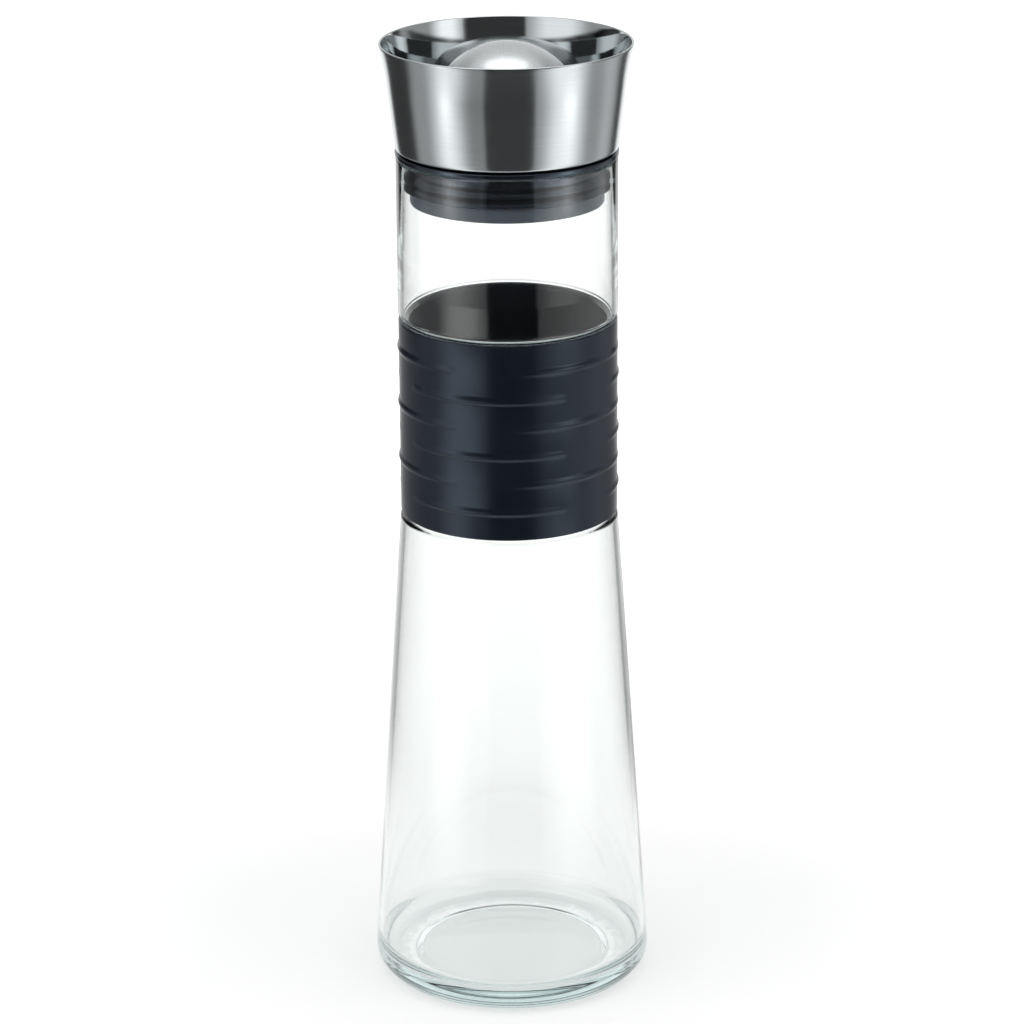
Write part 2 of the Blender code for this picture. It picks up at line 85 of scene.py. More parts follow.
def add_node(tree, kind, values=None, **settings):
    """A node of a tree, with its settings and the values of its named inputs."""
    node = tree.nodes.new(kind)
    for name, value in settings.items():
        setattr(node, name, value)
    for name, value in (values or {}).items():
        node.inputs[name].default_value = value
    return node


def feed(tree, value, socket):
    """Give a socket its value: a number, a colour or what another socket puts out."""
    if isinstance(value, bpy.types.NodeSocket):
        tree.links.new(value, socket)
    else:
        socket.default_value = value


def calc(tree, operation, *terms):
    """A sum in a tree, on numbers and sockets: the socket of its result."""
    node = add_node(tree, "ShaderNodeMath", operation=operation)
    for socket, term in zip(node.inputs, terms):
        feed(tree, term, socket)
    return node.outputs[0]


def ramp(tree, value, low, high, start=0.0, end=1.0, kind="LINEAR"):
    """A value's range low to high, stretched to start to end: the socket of the result."""
    node = add_node(tree, "ShaderNodeMapRange", interpolation_type=kind)
    tree.links.new(value, node.inputs["Value"])
    for name, limit in (("From Min", low), ("From Max", high), ("To Min", start), ("To Max", end)):
        node.inputs[name].default_value = limit
    return node.outputs["Result"]


def new_material(name):
    """A material with nodes, and its Principled shader."""
    material = bpy.data.materials.new(name)
    material.use_nodes = True
    return material, material.node_tree, material.node_tree.nodes["Principled BSDF"]


def sent_on(tree, rays):
    """1 on rays that come off a polished face or through glass."""
    return calc(tree, "MAXIMUM", rays["Is Glossy Ray"], rays["Is Transmission Ray"])


def seen_rays(tree):
    """1 on rays from the camera, off metal and through glass, and 0 on rays that only light."""
    rays = add_node(tree, "ShaderNodeLightPath").outputs
    return calc(tree, "MAXIMUM", rays["Is Camera Ray"], sent_on(tree, rays))


def built(name, builder):
    """An object in the scene, with a mesh that builder fills."""
    mesh = bpy.data.meshes.new(name)
    shape = bmesh.new()
    builder(shape)
    shape.to_mesh(mesh)
    shape.free()
    thing = bpy.data.objects.new(name, mesh)
    scene.collection.objects.link(thing)
    return thing


def stage_object(name, builder, material):
    """An object that is not part of the carafe."""
    thing = built(name, builder)
    thing.data.materials.append(material)
    return thing


floor_paint, tree, shader = new_material("floor_paint")
shader.inputs["Base Color"].default_value = FLOOR_COLOUR
shader.inputs["Roughness"].default_value = 1.0
shader.inputs["Specular IOR Level"].default_value = 0.0
shader.inputs["Emission Color"].default_value = WHITE
place = add_node(tree, "ShaderNodeTexCoord").outputs["Object"]
away = add_node(tree, "ShaderNodeVectorMath", operation="LENGTH")
tree.links.new(place, away.inputs[0])
# painted shade: the floor glows less near the carafe, so it darkens round the foot
glow = ramp(tree, away.outputs["Value"], GLOW_NEAR, GLOW_FAR, FLOOR_GLOW_NEAR, FLOOR_GLOW_FAR)
tree.links.new(calc(tree, "MULTIPLY", glow, seen_rays(tree)), shader.inputs["Emission Strength"])
stage_object(
    "floor",
    lambda shape: bmesh.ops.create_grid(shape, x_segments=1, y_segments=1, size=FLOOR_REACH),
    floor_paint,
)


# Light. Three soft boxes and an even sky light the carafe. Round it stands a light tent, which
# only polished faces mirror: bright panels, a dark slot in front and a dark belt half way up.
SKY_LEVEL = 0.68
MIRRORED_SKY_FRONT = 0.12
MIRRORED_SKY_BACK = 0.75
SKY_TURN_START = -0.6
SKY_TURN_END = -0.1
TENT_OUTLINE = (
    # radius and height: a floor with a hole for the carafe, a wide foot and a narrow upper wall
    (0.12, 0.0005),
    (0.65, 0.0005),
    (0.65, 0.178),
    (0.20, 0.178),
    (0.20, 0.495),
)
TENT_SEGMENTS = 128
TENT_LEVEL = 0.42
FLOOR_FADE_START = 0.10
FLOOR_FADE_END = 0.28
LOW_START = 0.47
LOW_FULL = 0.51
LOW_SIDE = radians(80)
LOW_BACK = radians(100)
TENT_FLOOR_TOP = 0.01
MIDDLE_FOOT = 0.222
MIDDLE_FULL = 0.228
BELT_FOOT = 0.250
BELT_FULL = 0.289
BELT_TOP = 0.331
HIGH_FULL = 0.3405
BELT_SHADE = 0.88
BELT_SIDE = radians(105)
BELT_BACK = radians(125)
TENT_PANELS = (
    # bands of the tent, azimuth from the front, half width, edge softness, and light added: low is
    # the wide foot, collar the floor in front and the upper wall's foot, and the rest lie above it
    ("low", 80, 18.5, 35, 0.28),
    ("low", 132, 12, 16, -0.12),
    ("low", 180, 24, 6, 0.34),
    ("low", -113, 20, 20, -0.10),
    ("low", -48.5, 14.5, 18.5, 1.45),
    ("low", 5.25, 25.75, 3, -0.39),
    ("collar", 57, 13.5, 16.5, 0.97),
    ("collar", -56.5, 9.5, 16.5, 0.88),
    ("collar", -31, 8, 8, -0.08),
    ("collar", 3, 22.75, 2, -0.37),
    ("collar middle", 108.5, 6, 10, 0.20),
    ("collar middle", 133.5, 7, 8, -0.34),
    ("collar middle", 180, 38, 6, 0.70),
    ("collar middle", -119, 19.5, 8, -0.37),
    ("middle", 57.5, 10.5, 14.5, 1.05),
    ("middle", 59, 3, 8, 1.30),
    ("middle", -57.5, 7, 14.5, 0.94),
    ("middle", -56, 3, 8, 1.30),
    ("middle", -31, 8, 8, -0.26),
    ("middle", 1.75, 23, 2, -0.37),
    ("high", 63, 10, 14, 1.10),
    ("high", 180, 27, 30, 0.30),
    ("high", -56, 20, 20, 0.80),
    ("high", 12.25, 32, 3, -0.37),
)
SOFT_BOXES = (
    # name, azimuth, height, distance, width, length, watts, and whether polished faces mirror it
    ("right_box", 62, 0.65, 1.10, 0.9, 1.1, 6.2, False),
    ("left_box", -62, 0.65, 1.10, 0.9, 1.1, 5.8, False),
    ("top_box", 0, 1.30, 0.05, 0.9, 0.9, 2.9, True),
)


def mirrored_rays(tree):
    """1 on rays that a polished face has sent on, at its surface or behind glass."""
    rays = add_node(tree, "ShaderNodeLightPath").outputs
    off_a_face = calc(tree, "GREATER_THAN", rays["Glossy Depth"], 0.5)
    return calc(tree, "MULTIPLY", sent_on(tree, rays), off_a_face)


def blend(tree, start, end, share):
    """A value between start and end, by a share from 0 to 1."""
    return calc(tree, "MULTIPLY_ADD", calc(tree, "SUBTRACT", end, start), share, start)


def axis_distance(tree, x, y):
    """Distance from the carafe's axis, from two sockets."""
    squares = calc(tree, "ADD", calc(tree, "MULTIPLY", x, x), calc(tree, "MULTIPLY", y, y))
    return calc(tree, "SQRT", squares)


world = bpy.data.worlds.new("studio")
scene.world = world
world.use_nodes = True
tree = world.node_tree
tree.nodes.clear()
parts = add_node(tree, "ShaderNodeSeparateXYZ")
tree.links.new(add_node(tree, "ShaderNodeTexCoord").outputs["Generated"], parts.inputs[0])
seen = seen_rays(tree)
mirrored = mirrored_rays(tree)
mirrored_sky = ramp(
    tree, parts.outputs["Y"], SKY_TURN_START, SKY_TURN_END, MIRRORED_SKY_FRONT, MIRRORED_SKY_BACK,
    "SMOOTHSTEP")
lighting = calc(tree, "MULTIPLY", calc(tree, "SUBTRACT", 1.0, seen), SKY_LEVEL)
strength = calc(tree, "ADD", calc(tree, "SUBTRACT", seen, mirrored), lighting)
strength = calc(tree, "MULTIPLY_ADD", mirrored_sky, mirrored, strength)
sky = add_node(tree, "ShaderNodeBackground", {"Color": WHITE})
tree.links.new(strength, sky.inputs["Strength"])
tree.links.new(sky.outputs[0], add_node(tree, "ShaderNodeOutputWorld").inputs["Surface"])

for name, azimuth, height, distance, width, length, watts, in_mirrors in SOFT_BOXES:
    lamp_data = bpy.data.lights.new(name, "AREA")
    lamp_data.shape = "RECTANGLE"
    lamp_data.size = width
    lamp_data.size_y = length
    lamp_data.energy = watts
    lamp = bpy.data.objects.new(name, lamp_data)
    scene.collection.objects.link(lamp)
    turn = radians(azimuth)
    lamp.location = (distance * sin(turn), -distance * cos(turn), height)
    aim = Vector((0.0, 0.0, LOOK_AT.z)) - lamp.location
    lamp.rotation_euler = aim.to_track_quat("-Z", "Y").to_euler()
    lamp.visible_camera = False
    lamp.visible_transmission = False
    lamp.visible_glossy = in_mirrors


def sewn_tent(shape):
    """The tent's cloth: its outline, turned about the upright axis."""
    outline = [shape.verts.new((radius, 0.0, height)) for radius, height in TENT_OUTLINE]
    seams = [shape.edges.new(pair) for pair in zip(outline, outline[1:])]
    bmesh.ops.spin(
        shape, geom=outline + seams, cent=(0.0, 0.0, 0.0), axis=(0.0, 0.0, 1.0), angle=2 * pi,
        steps=TENT_SEGMENTS, use_merge=True)


tent_cloth, tree, shader = new_material("tent_cloth")
parts = add_node(tree, "ShaderNodeSeparateXYZ")
tree.links.new(add_node(tree, "ShaderNodeTexCoord").outputs["Object"], parts.inputs[0])
x, y, height = parts.outputs
reach = axis_distance(tree, x, y)
azimuth = calc(tree, "ARCTAN2", x, calc(tree, "MULTIPLY", y, -1.0))
aside = calc(tree, "ABSOLUTE", azimuth)
light = dict.fromkeys(("low", "collar", "middle", "high"), TENT_LEVEL)
for bands, centre, half_width, softness, added in TENT_PANELS:
    turned_from = calc(tree, "WRAP", calc(tree, "SUBTRACT", azimuth, radians(centre)), pi, -pi)
    near = radians(max(half_width - softness / 2, 0.0))
    far = radians(half_width + softness)
    share = ramp(tree, calc(tree, "ABSOLUTE", turned_from), near, far, added, 0.0, "SMOOTHSTEP")
    for band in bands.split():
        light[band] = calc(tree, "ADD", share, light[band])
belt_rise = ramp(tree, height, BELT_FOOT, BELT_FULL, kind="SMOOTHSTEP")
belt_shade = ramp(tree, aside, BELT_SIDE, BELT_BACK, BELT_SHADE, 0.0, "SMOOTHSTEP")
unshaded = calc(tree, "SUBTRACT", 1.0, calc(tree, "MULTIPLY", belt_rise, belt_shade))
middle_light = calc(tree, "MULTIPLY", light["middle"], unshaded)
on_floor = ramp(tree, height, 0.0, TENT_FLOOR_TOP, 1.0, 0.0)
behind = calc(tree, "MULTIPLY", ramp(tree, aside, LOW_SIDE, LOW_BACK), on_floor)
low_share = calc(tree, "MAXIMUM", ramp(tree, reach, LOW_START, LOW_FULL), behind)
brightness = blend(tree, light["collar"], light["low"], low_share)
brightness = blend(tree, brightness, middle_light, ramp(tree, height, MIDDLE_FOOT, MIDDLE_FULL))
above_belt = ramp(tree, height, BELT_TOP, HIGH_FULL, kind="SMOOTHSTEP")
brightness = blend(tree, brightness, light["high"], above_belt)
glow = add_node(tree, "ShaderNodeEmission")
tree.links.new(brightness, glow.inputs["Strength"])
faded = ramp(tree, reach, FLOOR_FADE_START, FLOOR_FADE_END, kind="SMOOTHSTEP")
shown = calc(tree, "MAXIMUM", faded, calc(tree, "SUBTRACT", 1.0, on_floor))
choice = add_node(tree, "ShaderNodeMixShader")
tree.links.new(calc(tree, "MULTIPLY", mirrored_rays(tree), shown), choice.inputs[0])
tree.links.new(add_node(tree, "ShaderNodeBsdfTransparent").outputs[0], choice.inputs[1])
tree.links.new(glow.outputs[0], choice.inputs[2])
tree.links.new(choice.outputs[0], tree.nodes["Material Output"].inputs["Surface"])
tree.nodes.remove(shader)
tent = stage_object("light_tent", sewn_tent, tent_cloth)
tent.visible_camera = False
tent.visible_diffuse = False
tent.visible_shadow = False
tent.visible_volume_scatter = False


# Glass body. One blown piece of clear glass: a thick foot with a hollow under it, a conical
# belly, a waist that takes the grip, and a straight neck with a fire-polished rim.
GLASS_WALL = 0.0016
RIM_ROUND = 0.499 * GLASS_WALL
NECK_RADIUS = 0.03475
WAIST_RADIUS = 0.0325
TOUCH_GAP = 0.0003
SHOULDER_LENGTH = 0.0012
SHOULDER_ROUND = 0.0014
FOOT_THICKNESS = 0.0065
HEEL_ROUND = 0.0070
INNER_HEEL_ROUND = 0.0060
FOOT_RING_WIDTH = 0.0060
PUNT_DEPTH = 0.0012
FILLET_STEP = radians(9)
SHARP_ANGLE = radians(40)
MERGE_DISTANCE = 1e-7
INWARD_LIMIT = -0.02
UPWARD_LIMIT = 0.9
GLASS_SEGMENTS = 256
GLASS_CLEAR = (0.985, 0.995, 0.99, 1.0)
GLASS_EDGE = (0.80, 0.88, 0.85, 1.0)
# painted shade: a dark line drawn along the glass walls' edges, on their inner faces
GLASS_PAINTED_EDGE_SHADE = (0.12, 0.15, 0.15, 1.0)
GLASS_DEPTH_COLOUR = (0.70, 0.84, 0.84, 1.0)
GLASS_DEPTH_DENSITY = 16.0
GLASS_SHADOW = (0.90, 0.93, 0.92, 1.0)
GLASS_EDGE_SPREAD = (0.75, 1.0)
GLASS_EDGE_SHADE_SPREAD = (0.84, 0.97)
GLASS_IOR = 1.50
GLASS_WAVE_SIZE = 0.035
GLASS_WAVE_DEPTH = 0.001
GLASS_WAVE_STRENGTH = 0.06
GLASS_BOUNCES = 32


def rounded(corners):
    """Outline points from (radius, height, fillet) corners, with a fan of points on each fillet."""
    points = []
    for index, (radius, height, fillet) in enumerate(corners):
        corner = Vector((radius, height))
        if not fillet:
            points.append(corner)
            continue
        before = (Vector(corners[index - 1][:2]) - corner).normalized()
        after = (Vector(corners[(index + 1) % len(corners)][:2]) - corner).normalized()
        half = before.angle(after) / 2
        centre = corner + (before + after).normalized() * fillet / sin(half)
        spoke = corner + before * fillet / tan(half) - centre
        sweep = (pi - 2 * half) * (1 if before.cross(after) < 0 else -1)
        steps = max(2, round(abs(sweep) / FILLET_STEP))
        for step in range(steps + 1):
            points.append(centre + Matrix.Rotation(sweep * step / steps, 2) @ spoke)
    return points


def plain_from(piece):
    """Turn what a piece's modifiers make into its own plain mesh."""
    depsgraph = bpy.context.evaluated_depsgraph_get()
    mesh = bpy.data.meshes.new_from_object(piece.evaluated_get(depsgraph))
    mesh.name = piece.name
    piece.modifiers.clear()
    piece.data = mesh


def turned(name, outline, segments, *materials, closed=True):
    """A piece turned about the carafe's axis from an outline of (radius, height) points."""
    count = len(outline)
    edges = [(index, (index + 1) % count) for index in range(count if closed else count - 1)]
    mesh = bpy.data.meshes.new(name)
    mesh.from_pydata([(point[0], 0.0, point[1]) for point in outline], edges, [])
    for material in materials:
        mesh.materials.append(material)
    piece = bpy.data.objects.new(name, mesh)
    scene.collection.objects.link(piece)
    turn = piece.modifiers.new("turn", "SCREW")
    turn.axis = "Z"
    turn.steps = segments
    turn.render_steps = segments
    turn.use_merge_vertices = True
    turn.merge_threshold = MERGE_DISTANCE
    plain_from(piece)

    shape = bmesh.new()
    shape.from_mesh(piece.data)
    bmesh.ops.remove_doubles(shape, verts=shape.verts, dist=MERGE_DISTANCE)
    bmesh.ops.recalc_face_normals(shape, faces=shape.faces)
    shape.to_mesh(piece.data)
    shape.free()
    piece.data.shade_smooth()
    piece.data.set_sharp_from_angle(angle=SHARP_ANGLE)
    return piece


def stands_for(piece, node, body):
    """Set a finished piece in place of its node, on its body."""
    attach(piece, body)
    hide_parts(node)


def looks_inside(polygon):
    """Whether a face looks towards the carafe's axis, or up."""
    outward = Vector((polygon.center.x, polygon.center.y, 0.0)).normalized()
    return polygon.normal.dot(outward) < INWARD_LIMIT or polygon.normal.z > UPWARD_LIMIT


def tone_between(tree, first, second, share):
    """A colour between two, by a share from 0 to 1: the socket of the result."""
    mix = add_node(tree, "ShaderNodeMix", data_type="RGBA")
    feed(tree, first, mix.inputs["A"])
    feed(tree, second, mix.inputs["B"])
    tree.links.new(share, mix.inputs["Factor"])
    return mix.outputs["Result"]


def edge_tint_and_shade(tree, edge_colour, start, end):
    """Glass colour that turns into an edge colour where the face is seen at a low angle; a dark edge
    colour paints shade along the edges.
    """
    slant = add_node(tree, "ShaderNodeLayerWeight", {"Blend": 0.5}).outputs["Facing"]
    share = ramp(tree, slant, start, end, kind="SMOOTHSTEP")
    return tone_between(tree, GLASS_CLEAR, edge_colour, share)


def bumped(tree, height, depth, strength=1.0):
    """A bump that a value raises by up to a depth."""
    bump = add_node(tree, "ShaderNodeBump", {"Strength": strength, "Distance": depth})
    tree.links.new(height, bump.inputs["Height"])
    return bump


clear_glass, tree, shader = new_material("clear_glass")
shader.inputs["Roughness"].default_value = 0.0
shader.inputs["IOR"].default_value = GLASS_IOR
shader.inputs["Transmission Weight"].default_value = 1.0
inner = add_node(tree, "ShaderNodeAttribute", attribute_name="inner_face").outputs["Fac"]
outer_tint = edge_tint_and_shade(tree, GLASS_EDGE, *GLASS_EDGE_SPREAD)
# the inner faces darken at a low angle: painted shade that draws dark lines along the glass walls
painted_edge_shade = edge_tint_and_shade(tree, GLASS_PAINTED_EDGE_SHADE, *GLASS_EDGE_SHADE_SPREAD)
tree.links.new(tone_between(tree, outer_tint, painted_edge_shade, inner), shader.inputs["Base Color"])
wave = add_node(tree, "ShaderNodeTexNoise", {"Scale": 1 / GLASS_WAVE_SIZE, "Detail": 1.0})
tree.links.new(add_node(tree, "ShaderNodeTexCoord").outputs["Object"], wave.inputs["Vector"])
waves = bumped(tree, wave.outputs["Fac"], GLASS_WAVE_DEPTH, GLASS_WAVE_STRENGTH)
tree.links.new(waves.outputs["Normal"], shader.inputs["Normal"])
output = tree.nodes["Material Output"]
lit_through = add_node(tree, "ShaderNodeBsdfTransparent", {"Color": GLASS_SHADOW})
choice = add_node(tree, "ShaderNodeMixShader")
tree.links.new(add_node(tree, "ShaderNodeLightPath").outputs["Is Shadow Ray"], choice.inputs[0])
tree.links.new(shader.outputs[0], choice.inputs[1])
tree.links.new(lit_through.outputs[0], choice.inputs[2])
tree.links.new(choice.outputs[0], output.inputs["Surface"])
depth = add_node(
    tree, "ShaderNodeVolumeAbsorption", {"Color": GLASS_DEPTH_COLOUR, "Density": GLASS_DEPTH_DENSITY})
tree.links.new(depth.outputs[0], output.inputs["Volume"])
# light crosses the thick foot many times before it leaves
scene.cycles.max_bounces = GLASS_BOUNCES
scene.cycles.glossy_bounces = GLASS_BOUNCES
scene.cycles.transmission_bounces = GLASS_BOUNCES

glass_low, glass_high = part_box("glass_body")
grip_low, grip_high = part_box("grip_sleeve")
waist_foot = grip_low.z - TOUCH_GAP
waist_top = grip_high.z + TOUCH_GAP
belly_top = waist_foot - SHOULDER_LENGTH
neck_foot = waist_top + SHOULDER_LENGTH
neck_bore = NECK_RADIUS - GLASS_WALL
waist_bore = WAIST_RADIUS - GLASS_WALL
belly_slope = (glass_high.x - NECK_RADIUS) / (belly_top - HEEL_ROUND)
foot_corner = glass_high.x + belly_slope * HEEL_ROUND
inner_corner = foot_corner - GLASS_WALL - belly_slope * FOOT_THICKNESS
ring_inside = glass_high.x - HEEL_ROUND - FOOT_RING_WIDTH
glass = turned("blown_glass", rounded([
    (0.0, FOOT_THICKNESS, 0),
    (inner_corner, FOOT_THICKNESS, INNER_HEEL_ROUND),
    (neck_bore, belly_top, SHOULDER_ROUND),
    (waist_bore, waist_foot, SHOULDER_ROUND),
    (waist_bore, waist_top, SHOULDER_ROUND),
    (neck_bore, neck_foot, SHOULDER_ROUND),
    (neck_bore, glass_high.z, RIM_ROUND),
    (NECK_RADIUS, glass_high.z, RIM_ROUND),
    (NECK_RADIUS, neck_foot, SHOULDER_ROUND),
    (WAIST_RADIUS, waist_top, SHOULDER_ROUND),
    (WAIST_RADIUS, waist_foot, SHOULDER_ROUND),
    (NECK_RADIUS, belly_top, SHOULDER_ROUND),
    (foot_corner, glass_low.z, HEEL_ROUND),
    (ring_inside, glass_low.z, 2 * PUNT_DEPTH),
    (ring_inside - 2 * PUNT_DEPTH, PUNT_DEPTH, 2 * PUNT_DEPTH),
    (0.0, PUNT_DEPTH, 0),
]), GLASS_SEGMENTS, clear_glass, closed=False)
inner_face = glass.data.attributes.new("inner_face", "FLOAT", "FACE")
inner_face.data.foreach_set("value", [float(looks_inside(face)) for face in glass.data.polygons])
stands_for(glass, "glass_body", "bottle")


# Grip. A moulded sleeve of anthracite silicone, stretched into the glass's waist. Low ribs
# in staggered rows run part of the way round, each a ridge that tapers at its ends.
GRIP_RADIUS = 0.0346
GRIP_WALL = 0.0018
GRIP_EDGE = 0.0005
RIB_ROWS = 6
RIBS_PER_ROW = 3
RIB_SWEEP = radians(92)
RIB_WIDTH = 0.0034
RIB_HEIGHT = 0.0005
RIB_STEPS = 14
FACE_TOLERANCE = 1e-5
GRIP_SEGMENTS = 360
GRIP_DARK = (0.0052, 0.0066, 0.0108, 1.0)
GRIP_PALE = (0.0075, 0.0095, 0.0148, 1.0)
# the silicone's reflections tinted blue: a painted colour of cool light in its sheen
COOL_SHEEN = (0.62, 0.80, 1.0, 1.0)
CLOUD_SIZE = 0.02
NOISE_LOW = 0.3
NOISE_HIGH = 0.7
CLOUD_GLOSS = 0.6
GRAIN_GLOSS = 0.4
GLOSS_LOW = 0.2
GLOSS_HIGH = 0.8


def shader_group(name, inputs, outputs):
    """An empty shader group with named inputs and outputs, and its two ends."""
    group = bpy.data.node_groups.new(name, "ShaderNodeTree")
    for way, labels in (("INPUT", inputs), ("OUTPUT", outputs)):
        for label in labels:
            group.interface.new_socket(label, in_out=way, socket_type="NodeSocketFloat")
    return group, add_node(group, "NodeGroupInput").outputs, add_node(group, "NodeGroupOutput").inputs


def moulded_skin():
    """Skin of a moulded piece: slow clouding of tone and gloss, and the mould's fine grain."""
    group, given, result = shader_group("moulded_skin", ["Grain Size"], ["Cloud", "Gloss", "Grain"])
    place = add_node(group, "ShaderNodeTexCoord").outputs["Object"]
    slow = add_node(group, "ShaderNodeTexNoise", {"Scale": 1 / CLOUD_SIZE, "Detail": 3.0})
    fine = add_node(group, "ShaderNodeTexNoise", {"Detail": 1.0})
    group.links.new(calc(group, "DIVIDE", 1.0, given["Grain Size"]), fine.inputs["Scale"])
    for noise in (slow, fine):
        group.links.new(place, noise.inputs["Vector"])
    cloud = ramp(group, slow.outputs["Fac"], NOISE_LOW, NOISE_HIGH)
    clouded = calc(group, "MULTIPLY", cloud, CLOUD_GLOSS)
    gloss = calc(group, "MULTIPLY_ADD", fine.outputs["Fac"], GRAIN_GLOSS, clouded)
    group.links.new(cloud, result["Cloud"])
    group.links.new(gloss, result["Gloss"])
    group.links.new(fine.outputs["Fac"], result["Grain"])
    return group


def moulded(name, dark, pale, smooth, rough, grain_size, grain_depth, sheen=WHITE, shine=0.5):
    """A moulded plastic or silicone: two close tones, two roughnesses and a fine grain."""
    material, tree, shader = new_material(name)
    shader.inputs["Specular Tint"].default_value = sheen
    shader.inputs["Specular IOR Level"].default_value = shine
    skin = add_node(tree, "ShaderNodeGroup", {"Grain Size": grain_size}, node_tree=MOULDED_SKIN)
    tree.links.new(tone_between(tree, dark, pale, skin.outputs["Cloud"]), shader.inputs["Base Color"])
    roughness = ramp(tree, skin.outputs["Gloss"], GLOSS_LOW, GLOSS_HIGH, smooth, rough)
    tree.links.new(roughness, shader.inputs["Roughness"])
    grain = bumped(tree, skin.outputs["Grain"], grain_depth)
    tree.links.new(grain.outputs["Normal"], shader.inputs["Normal"])
    return material


def node_tree(name, inputs):
    """An empty Geometry Nodes tree with named inputs (label, socket kind), and its two ends."""
    group = bpy.data.node_groups.new(name, "GeometryNodeTree")
    group.interface.new_socket("Geometry", in_out="OUTPUT", socket_type="NodeSocketGeometry")
    for label, kind in inputs:
        group.interface.new_socket(label, in_out="INPUT", socket_type=kind)
    return group, add_node(group, "NodeGroupInput").outputs, add_node(group, "NodeGroupOutput").inputs


def finish_tree(group, geometry, material, result):
    """End a tree as every tree ends: instances made real, and the piece's material set."""
    real = add_node(group, "GeometryNodeRealizeInstances")
    paint = add_node(group, "GeometryNodeSetMaterial")
    group.links.new(geometry, real.inputs["Geometry"])
    group.links.new(real.outputs["Geometry"], paint.inputs["Geometry"])
    group.links.new(material, paint.inputs["Material"])
    group.links.new(paint.outputs["Geometry"], result["Geometry"])


def grow(piece, group, values):
    """Run a tree on a piece with its named values, and keep the plain mesh that it makes."""
    modifier = piece.modifiers.new(group.name, "NODES")
    modifier.node_group = group
    for item in group.interface.items_tree:
        if item.in_out == "INPUT" and item.name in values:
            modifier[item.identifier] = values[item.name]
    plain_from(piece)


def raised_ribs():
    """Tree that lifts lens-shaped ribs out of a sleeve's face, in rows staggered by half a rib."""
    number, whole = "NodeSocketFloat", "NodeSocketInt"
    group, given, result = node_tree("raised_ribs", (
        ("Sleeve", "NodeSocketGeometry"), ("Foot", number), ("Length", number), ("Face Radius", number),
        ("Rows", whole), ("Ribs per Row", whole), ("Sweep", number), ("Width", number),
        ("Height", number), ("Material", "NodeSocketMaterial"),
    ))
    spot = add_node(group, "ShaderNodeSeparateXYZ")
    group.links.new(add_node(group, "GeometryNodeInputPosition").outputs[0], spot.inputs[0])
    x, y, z = spot.outputs
    radius = axis_distance(group, x, y)
    angle = calc(group, "ARCTAN2", x, calc(group, "MULTIPLY", y, -1.0))

    pitch = calc(group, "DIVIDE", given["Length"], calc(group, "ADD", given["Rows"], 1.0))
    climb = calc(group, "DIVIDE", calc(group, "SUBTRACT", z, given["Foot"]), pitch)
    row = calc(group, "MINIMUM", calc(group, "ROUND", climb), given["Rows"])
    row = calc(group, "MAXIMUM", row, 1.0)
    off_row = calc(group, "ABSOLUTE", calc(group, "SUBTRACT", climb, row))
    off_crest = calc(group, "MULTIPLY", off_row, pitch)
    period = calc(group, "DIVIDE", 2 * pi, given["Ribs per Row"])
    odd = calc(group, "MODULO", calc(group, "SUBTRACT", given["Rows"], row), 2.0)
    stagger = calc(group, "MULTIPLY", calc(group, "MULTIPLY", odd, period), 0.5)
    along = calc(group, "FLOORED_MODULO", calc(group, "ADD", angle, stagger), period)
    half_sweep = calc(group, "MULTIPLY", given["Sweep"], 0.5)
    off_middle = calc(group, "DIVIDE", calc(group, "SUBTRACT", along, half_sweep), half_sweep)
    room = calc(group, "SUBTRACT", 1.0, calc(group, "MULTIPLY", off_middle, off_middle))
    lens = calc(group, "SQRT", calc(group, "MAXIMUM", room, 0.0))

    off_share = calc(group, "DIVIDE", off_crest, calc(group, "MULTIPLY", given["Width"], 0.5))
    ridge = calc(group, "COSINE", calc(group, "MULTIPLY", calc(group, "MINIMUM", off_share, 1.0), pi))
    ridge = calc(group, "MULTIPLY_ADD", ridge, 0.5, 0.5)
    rise = calc(group, "MULTIPLY", calc(group, "MULTIPLY", lens, ridge), given["Height"])

    outward = add_node(group, "ShaderNodeCombineXYZ")
    for value, name in ((x, "X"), (y, "Y")):
        push = calc(group, "DIVIDE", calc(group, "MULTIPLY", value, rise), radius)
        group.links.new(push, outward.inputs[name])
    on_face = calc(group, "COMPARE", radius, given["Face Radius"], FACE_TOLERANCE)
    lift = add_node(group, "GeometryNodeSetPosition")
    group.links.new(given["Sleeve"], lift.inputs["Geometry"])
    group.links.new(on_face, lift.inputs["Selection"])
    group.links.new(outward.outputs[0], lift.inputs["Offset"])
    finish_tree(group, lift.outputs["Geometry"], given["Material"], result)
    return group


MOULDED_SKIN = moulded_skin()
grip_silicone = moulded(
    "grip_silicone", GRIP_DARK, GRIP_PALE, smooth=0.20, rough=0.25, grain_size=0.00035,
    grain_depth=0.000004, sheen=COOL_SHEEN)

grip_length = grip_high.z - grip_low.z
rib_pitch = grip_length / (RIB_ROWS + 1)
face_levels = []
for row in range(1, RIB_ROWS + 1):
    for step in range(RIB_STEPS + 1):
        face_levels.append(grip_low.z + row * rib_pitch + RIB_WIDTH * (step / RIB_STEPS - 0.5))
grip_edges = rounded([
    (GRIP_RADIUS - GRIP_WALL, grip_high.z, GRIP_EDGE / 2),
    (GRIP_RADIUS, grip_high.z, GRIP_EDGE),
    (GRIP_RADIUS, grip_low.z, GRIP_EDGE),
    (GRIP_RADIUS - GRIP_WALL, grip_low.z, GRIP_EDGE / 2),
])
grip_middle = grip_high.z - grip_length / 2
grip_outline = [point for point in grip_edges if point.y >= grip_middle]
grip_outline += [Vector((GRIP_RADIUS, height)) for height in reversed(face_levels)]
grip_outline += [point for point in grip_edges if point.y < grip_middle]
grip = turned("ribbed_grip", grip_outline, GRIP_SEGMENTS)
